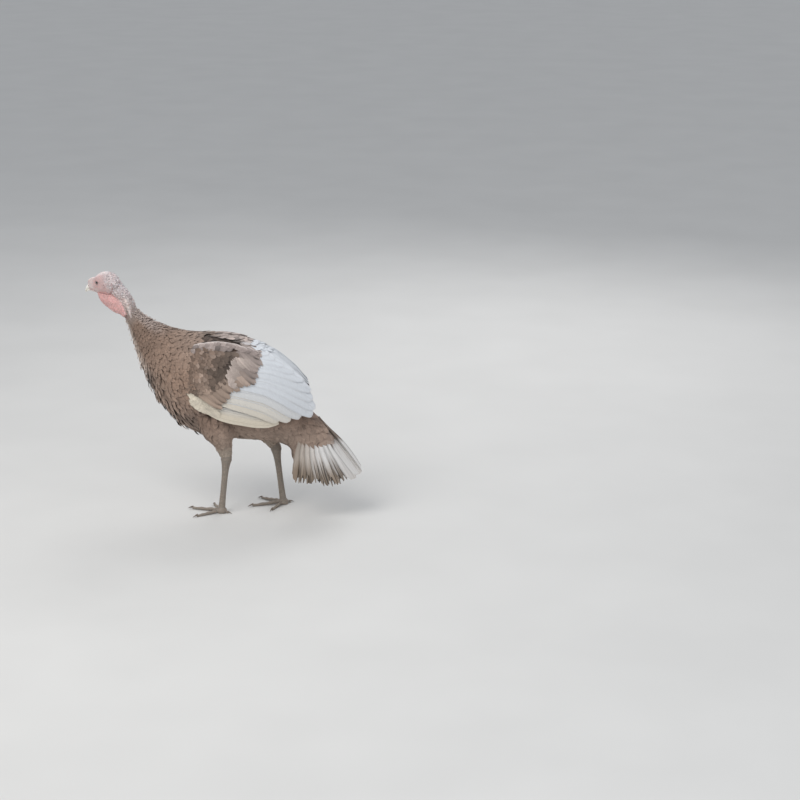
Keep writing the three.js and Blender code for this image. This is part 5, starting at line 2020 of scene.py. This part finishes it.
def bristle_tree(material):
    """Short dark bristles scattered over chosen skin, leaning back with its lie."""
    tree = bpy.data.node_groups.new("bristles", "GeometryNodeTree")
    face = tree.interface
    face.new_socket("Geometry", in_out="INPUT", socket_type="NodeSocketGeometry")
    for label, value in (("Spacing", 0.0021), ("Length", 0.0042), ("Thickness", 0.00011)):
        face.new_socket(label, in_out="INPUT", socket_type="NodeSocketFloat").default_value = value
    face.new_socket("Geometry", in_out="OUTPUT", socket_type="NodeSocketGeometry")

    def node(kind, inputs=(), **settings):
        return add_node(tree, kind, inputs, **settings).outputs

    source = node("NodeGroupInput")
    where = node("GeometryNodeInputNamedAttribute", {"Name": "Bristly"}, data_type="FLOAT")
    lie = node("GeometryNodeInputNamedAttribute", {"Name": "Lie"}, data_type="FLOAT_VECTOR")
    scattering = {
        "Mesh": source["Geometry"], "Distance Min": source["Spacing"], "Density Max": 240000.0,
        "Density Factor": where["Attribute"], "Seed": SEED,
    }
    scatter = node("GeometryNodeDistributePointsOnFaces", scattering, distribute_method="POISSON")
    sizes = {
        "Vertices": 4, "Radius Top": 0.00002, "Radius Bottom": source["Thickness"],
        "Depth": source["Length"],
    }
    spike = node("GeometryNodeMeshCone", sizes)
    aim = node("FunctionNodeAlignRotationToVector", {"Vector": lie["Attribute"]})
    scale = node("FunctionNodeRandomValue", {2: 0.5, 3: 1.2, "Seed": SEED + 1}, data_type="FLOAT")
    placing = {
        "Points": scatter["Points"], "Instance": spike["Mesh"], "Rotation": aim["Rotation"],
        "Scale": scale[1],
    }
    placed = node("GeometryNodeInstanceOnPoints", placing)
    real = node("GeometryNodeRealizeInstances", {"Geometry": placed["Instances"]})
    coat = node("GeometryNodeSetMaterial", {"Geometry": real["Geometry"], "Material": material})
    node("NodeGroupOutput", {"Geometry": coat["Geometry"]})
    return tree


def bristles(name, skin):
    points, out = places_of(skin.data), normals_of(skin.data)
    f, u, _ = head_frame(points)
    head = (points[:, 2] + 0.35 * points[:, 1] > 396) & (points[:, 1] < -200)
    ring = np.hypot(f - EYE_AT[0], u - EYE_AT[1])
    amount = 0.12 + 0.88 * ease(-f + 0.25 * u, 12, 50)
    amount = amount * (1 - 0.8 * wattle_share(f, u)) * head * (ring > 8) * (f < 40)
    back = -FORE - UP * 0.5
    lie = unit(unit(back - out * (out @ back)[:, None]) + out * 0.45)
    holder = object_of(name, skin.data.copy())
    holder.data.materials.clear()
    for label, kind, values in (("Bristly", "FLOAT", amount), ("Lie", "FLOAT_VECTOR", lie)):
        layer = holder.data.attributes.new(label, kind, "POINT")
        field = "value" if kind == "FLOAT" else "vector"
        layer.data.foreach_set(field, values.astype(np.float32).ravel())
    finish = Finish("bristle", 0.6)
    tone = finish.noise(300, 2)
    material = finish.done(finish.shade(finish.plain(0.1, 0.075, 0.065), finish.spread(tone, 0.6, 1.6)))
    grow = holder.modifiers.new("Bristles", "NODES")
    grow.node_group = bristle_tree(material)
    mesh = evaluated(holder)
    for layer in [a.name for a in mesh.attributes if a.name in ("Tint", "Bristly", "Lie")]:
        mesh.attributes.remove(mesh.attributes[layer])
    if not mesh.materials:
        mesh.materials.append(material)
    return dressed(object_of(name, mesh), "skin")


# -- the bird --

skin_look = skin_finish()
contour_look = feather_finish("contour_feather", 0.001, 0.00025, 1.0, 0.78)
quill_look = feather_finish("flight_feather", 0.0013, 0.00018, 0.55, 0.6)
horn_look = horn_finish()
scute_look = scute_finish()

skin = united("skin", [head_skin(), trunk_skin(), leg_skin()])
colour_points(skin.data, skin_tint(places_of(skin.data)))
skin.data.shade_smooth()
skin.data.materials.clear()
skin.data.materials.append(skin_look)
SIDES = {"left": 1, "right": -1}
FLESH = ["head", "neck_bare", "neck", "trunk", "tail_coverts", "snood", "wattle"]
for which in SIDES:
    FLESH += [f"{part}_{which}" for part in ("ear", "thigh", "shank", "foot")] + [f"wing_{which}_arm"]
    FLESH += [f"toe_{which}_{toe}" for toe in TOES]
dressed(skin, "skin", *FLESH)
bristles("bristles", skin)



def by_station(stations, *rows):
    """For each row of sizes, a function that gives the size at a station."""
    return [lambda t, sizes=sizes: np.interp(t, stations, sizes) for sizes in rows]


# Gap between rows, length and width of the feathers.
NECK_SIZES = by_station([2.95, 4, 6.4], [2.5, 3.7, 5.8], [6.5, 13, 21], [2.2, 5.6, 9.5])
BREAST_SIZES = by_station([6.4, 8.5], [6.6, 8.6], [23, 29], [11, 14])
RUMP_SIZES = by_station([0, 17], [9, 9], [32, 32], [15.5, 15.5])
body_coat("coat_neck", BARE_END - 0.15, TRUNK_START, *NECK_SIZES, contour_look, SEED + 2)
body_coat("coat_breast", TRUNK_START, 10.4, *BREAST_SIZES, contour_look, SEED + 3)
body_coat("coat_rump", 10.4, 16.1, *RUMP_SIZES, contour_look, SEED + 4, hind_body)
covert_coat("coat_tail_coverts", contour_look, SEED + 5)
mantle_coat("coat_mantle", contour_look, SEED + 9)
for which, side in SIDES.items():
    thigh_coat(f"coat_thigh_{which}", side, contour_look, SEED + 6 + side)
    wing_coat(f"coat_wing_{which}", side, contour_look, SEED + 12 + side)
    wing_quills(
        f"quills_wing_{which}", side, quill_look, SEED + 18 + side, f"wing_{which}_secondaries",
        f"wing_{which}_primaries",
    )
    claws(f"claws_{which}", side, horn_look)
    scutes(f"scutes_{which}", side, scute_look)
    eye_piece(f"eyeball_{which}", side, f"eye_{which}", eye_finish())
tail_coat("quills_tail", quill_look, SEED + 24, "tail")
bill_piece("bill_upper_horn", UPPER_BILL, "bill_upper", horn_look)
bill_piece("bill_lower_horn", LOWER_BILL, "bill_lower", horn_look)

# -- floor, light, camera --


def floor():
    half = 40.0
    corners = np.array([(-half, -half, 0), (half, -half, 0), (half, half, 0), (-half, half, 0)])
    mesh = mesh_of("floor", corners, np.array([[0, 1, 2, 3]]), metres=True)
    finish = Finish("floor_pale", 0.75)
    cloud = finish.noise(3.0, 2)
    pale = finish.plain(0.62, 0.61, 0.59)
    mesh.materials.append(finish.done(finish.shade(pale, finish.spread(cloud, 0.98, 1.02))))
    object_of("floor", mesh)


def lamp(name, place, aim, size, power, colour=(1, 1, 1)):
    light = bpy.data.lights.new(name, "AREA")
    light.size = size
    light.energy = power
    light.color = colour
    thing = object_of(name, light)
    thing.location = place
    thing.rotation_euler = (Vector(aim) - Vector(place)).to_track_quat("-Z", "Y").to_euler()


def camera():
    lens = bpy.data.cameras.new("camera")
    lens.lens = 90
    lens.sensor_width = 36
    thing = object_of("camera", lens)
    thing.location = (4.925, 1.166, 1.754)
    thing.rotation_euler = Vector((-0.9512, -0.1337, -0.2781)).to_track_quat("-Z", "Y").to_euler()
    scene.camera = thing


floor()
camera()
lamp("key", (1.6, -1.1, 2.9), (0, 0, 0.35), 2.2, 62, (1.0, 0.985, 0.96))
lamp("fill", (2.6, 2.2, 1.4), (0, 0, 0.3), 2.4, 22, (0.95, 0.97, 1.0))
lamp("back", (-2.4, 0.8, 2.2), (0, 0, 0.4), 1.8, 30)
world = bpy.data.worlds.new("sky")
world.use_nodes = True
sky = world.node_tree.nodes["Background"].inputs
sky["Color"].default_value = (0.86, 0.9, 0.96, 1)
sky["Strength"].default_value = 0.62
scene.world = world
scene.view_settings.view_transform = "Standard"
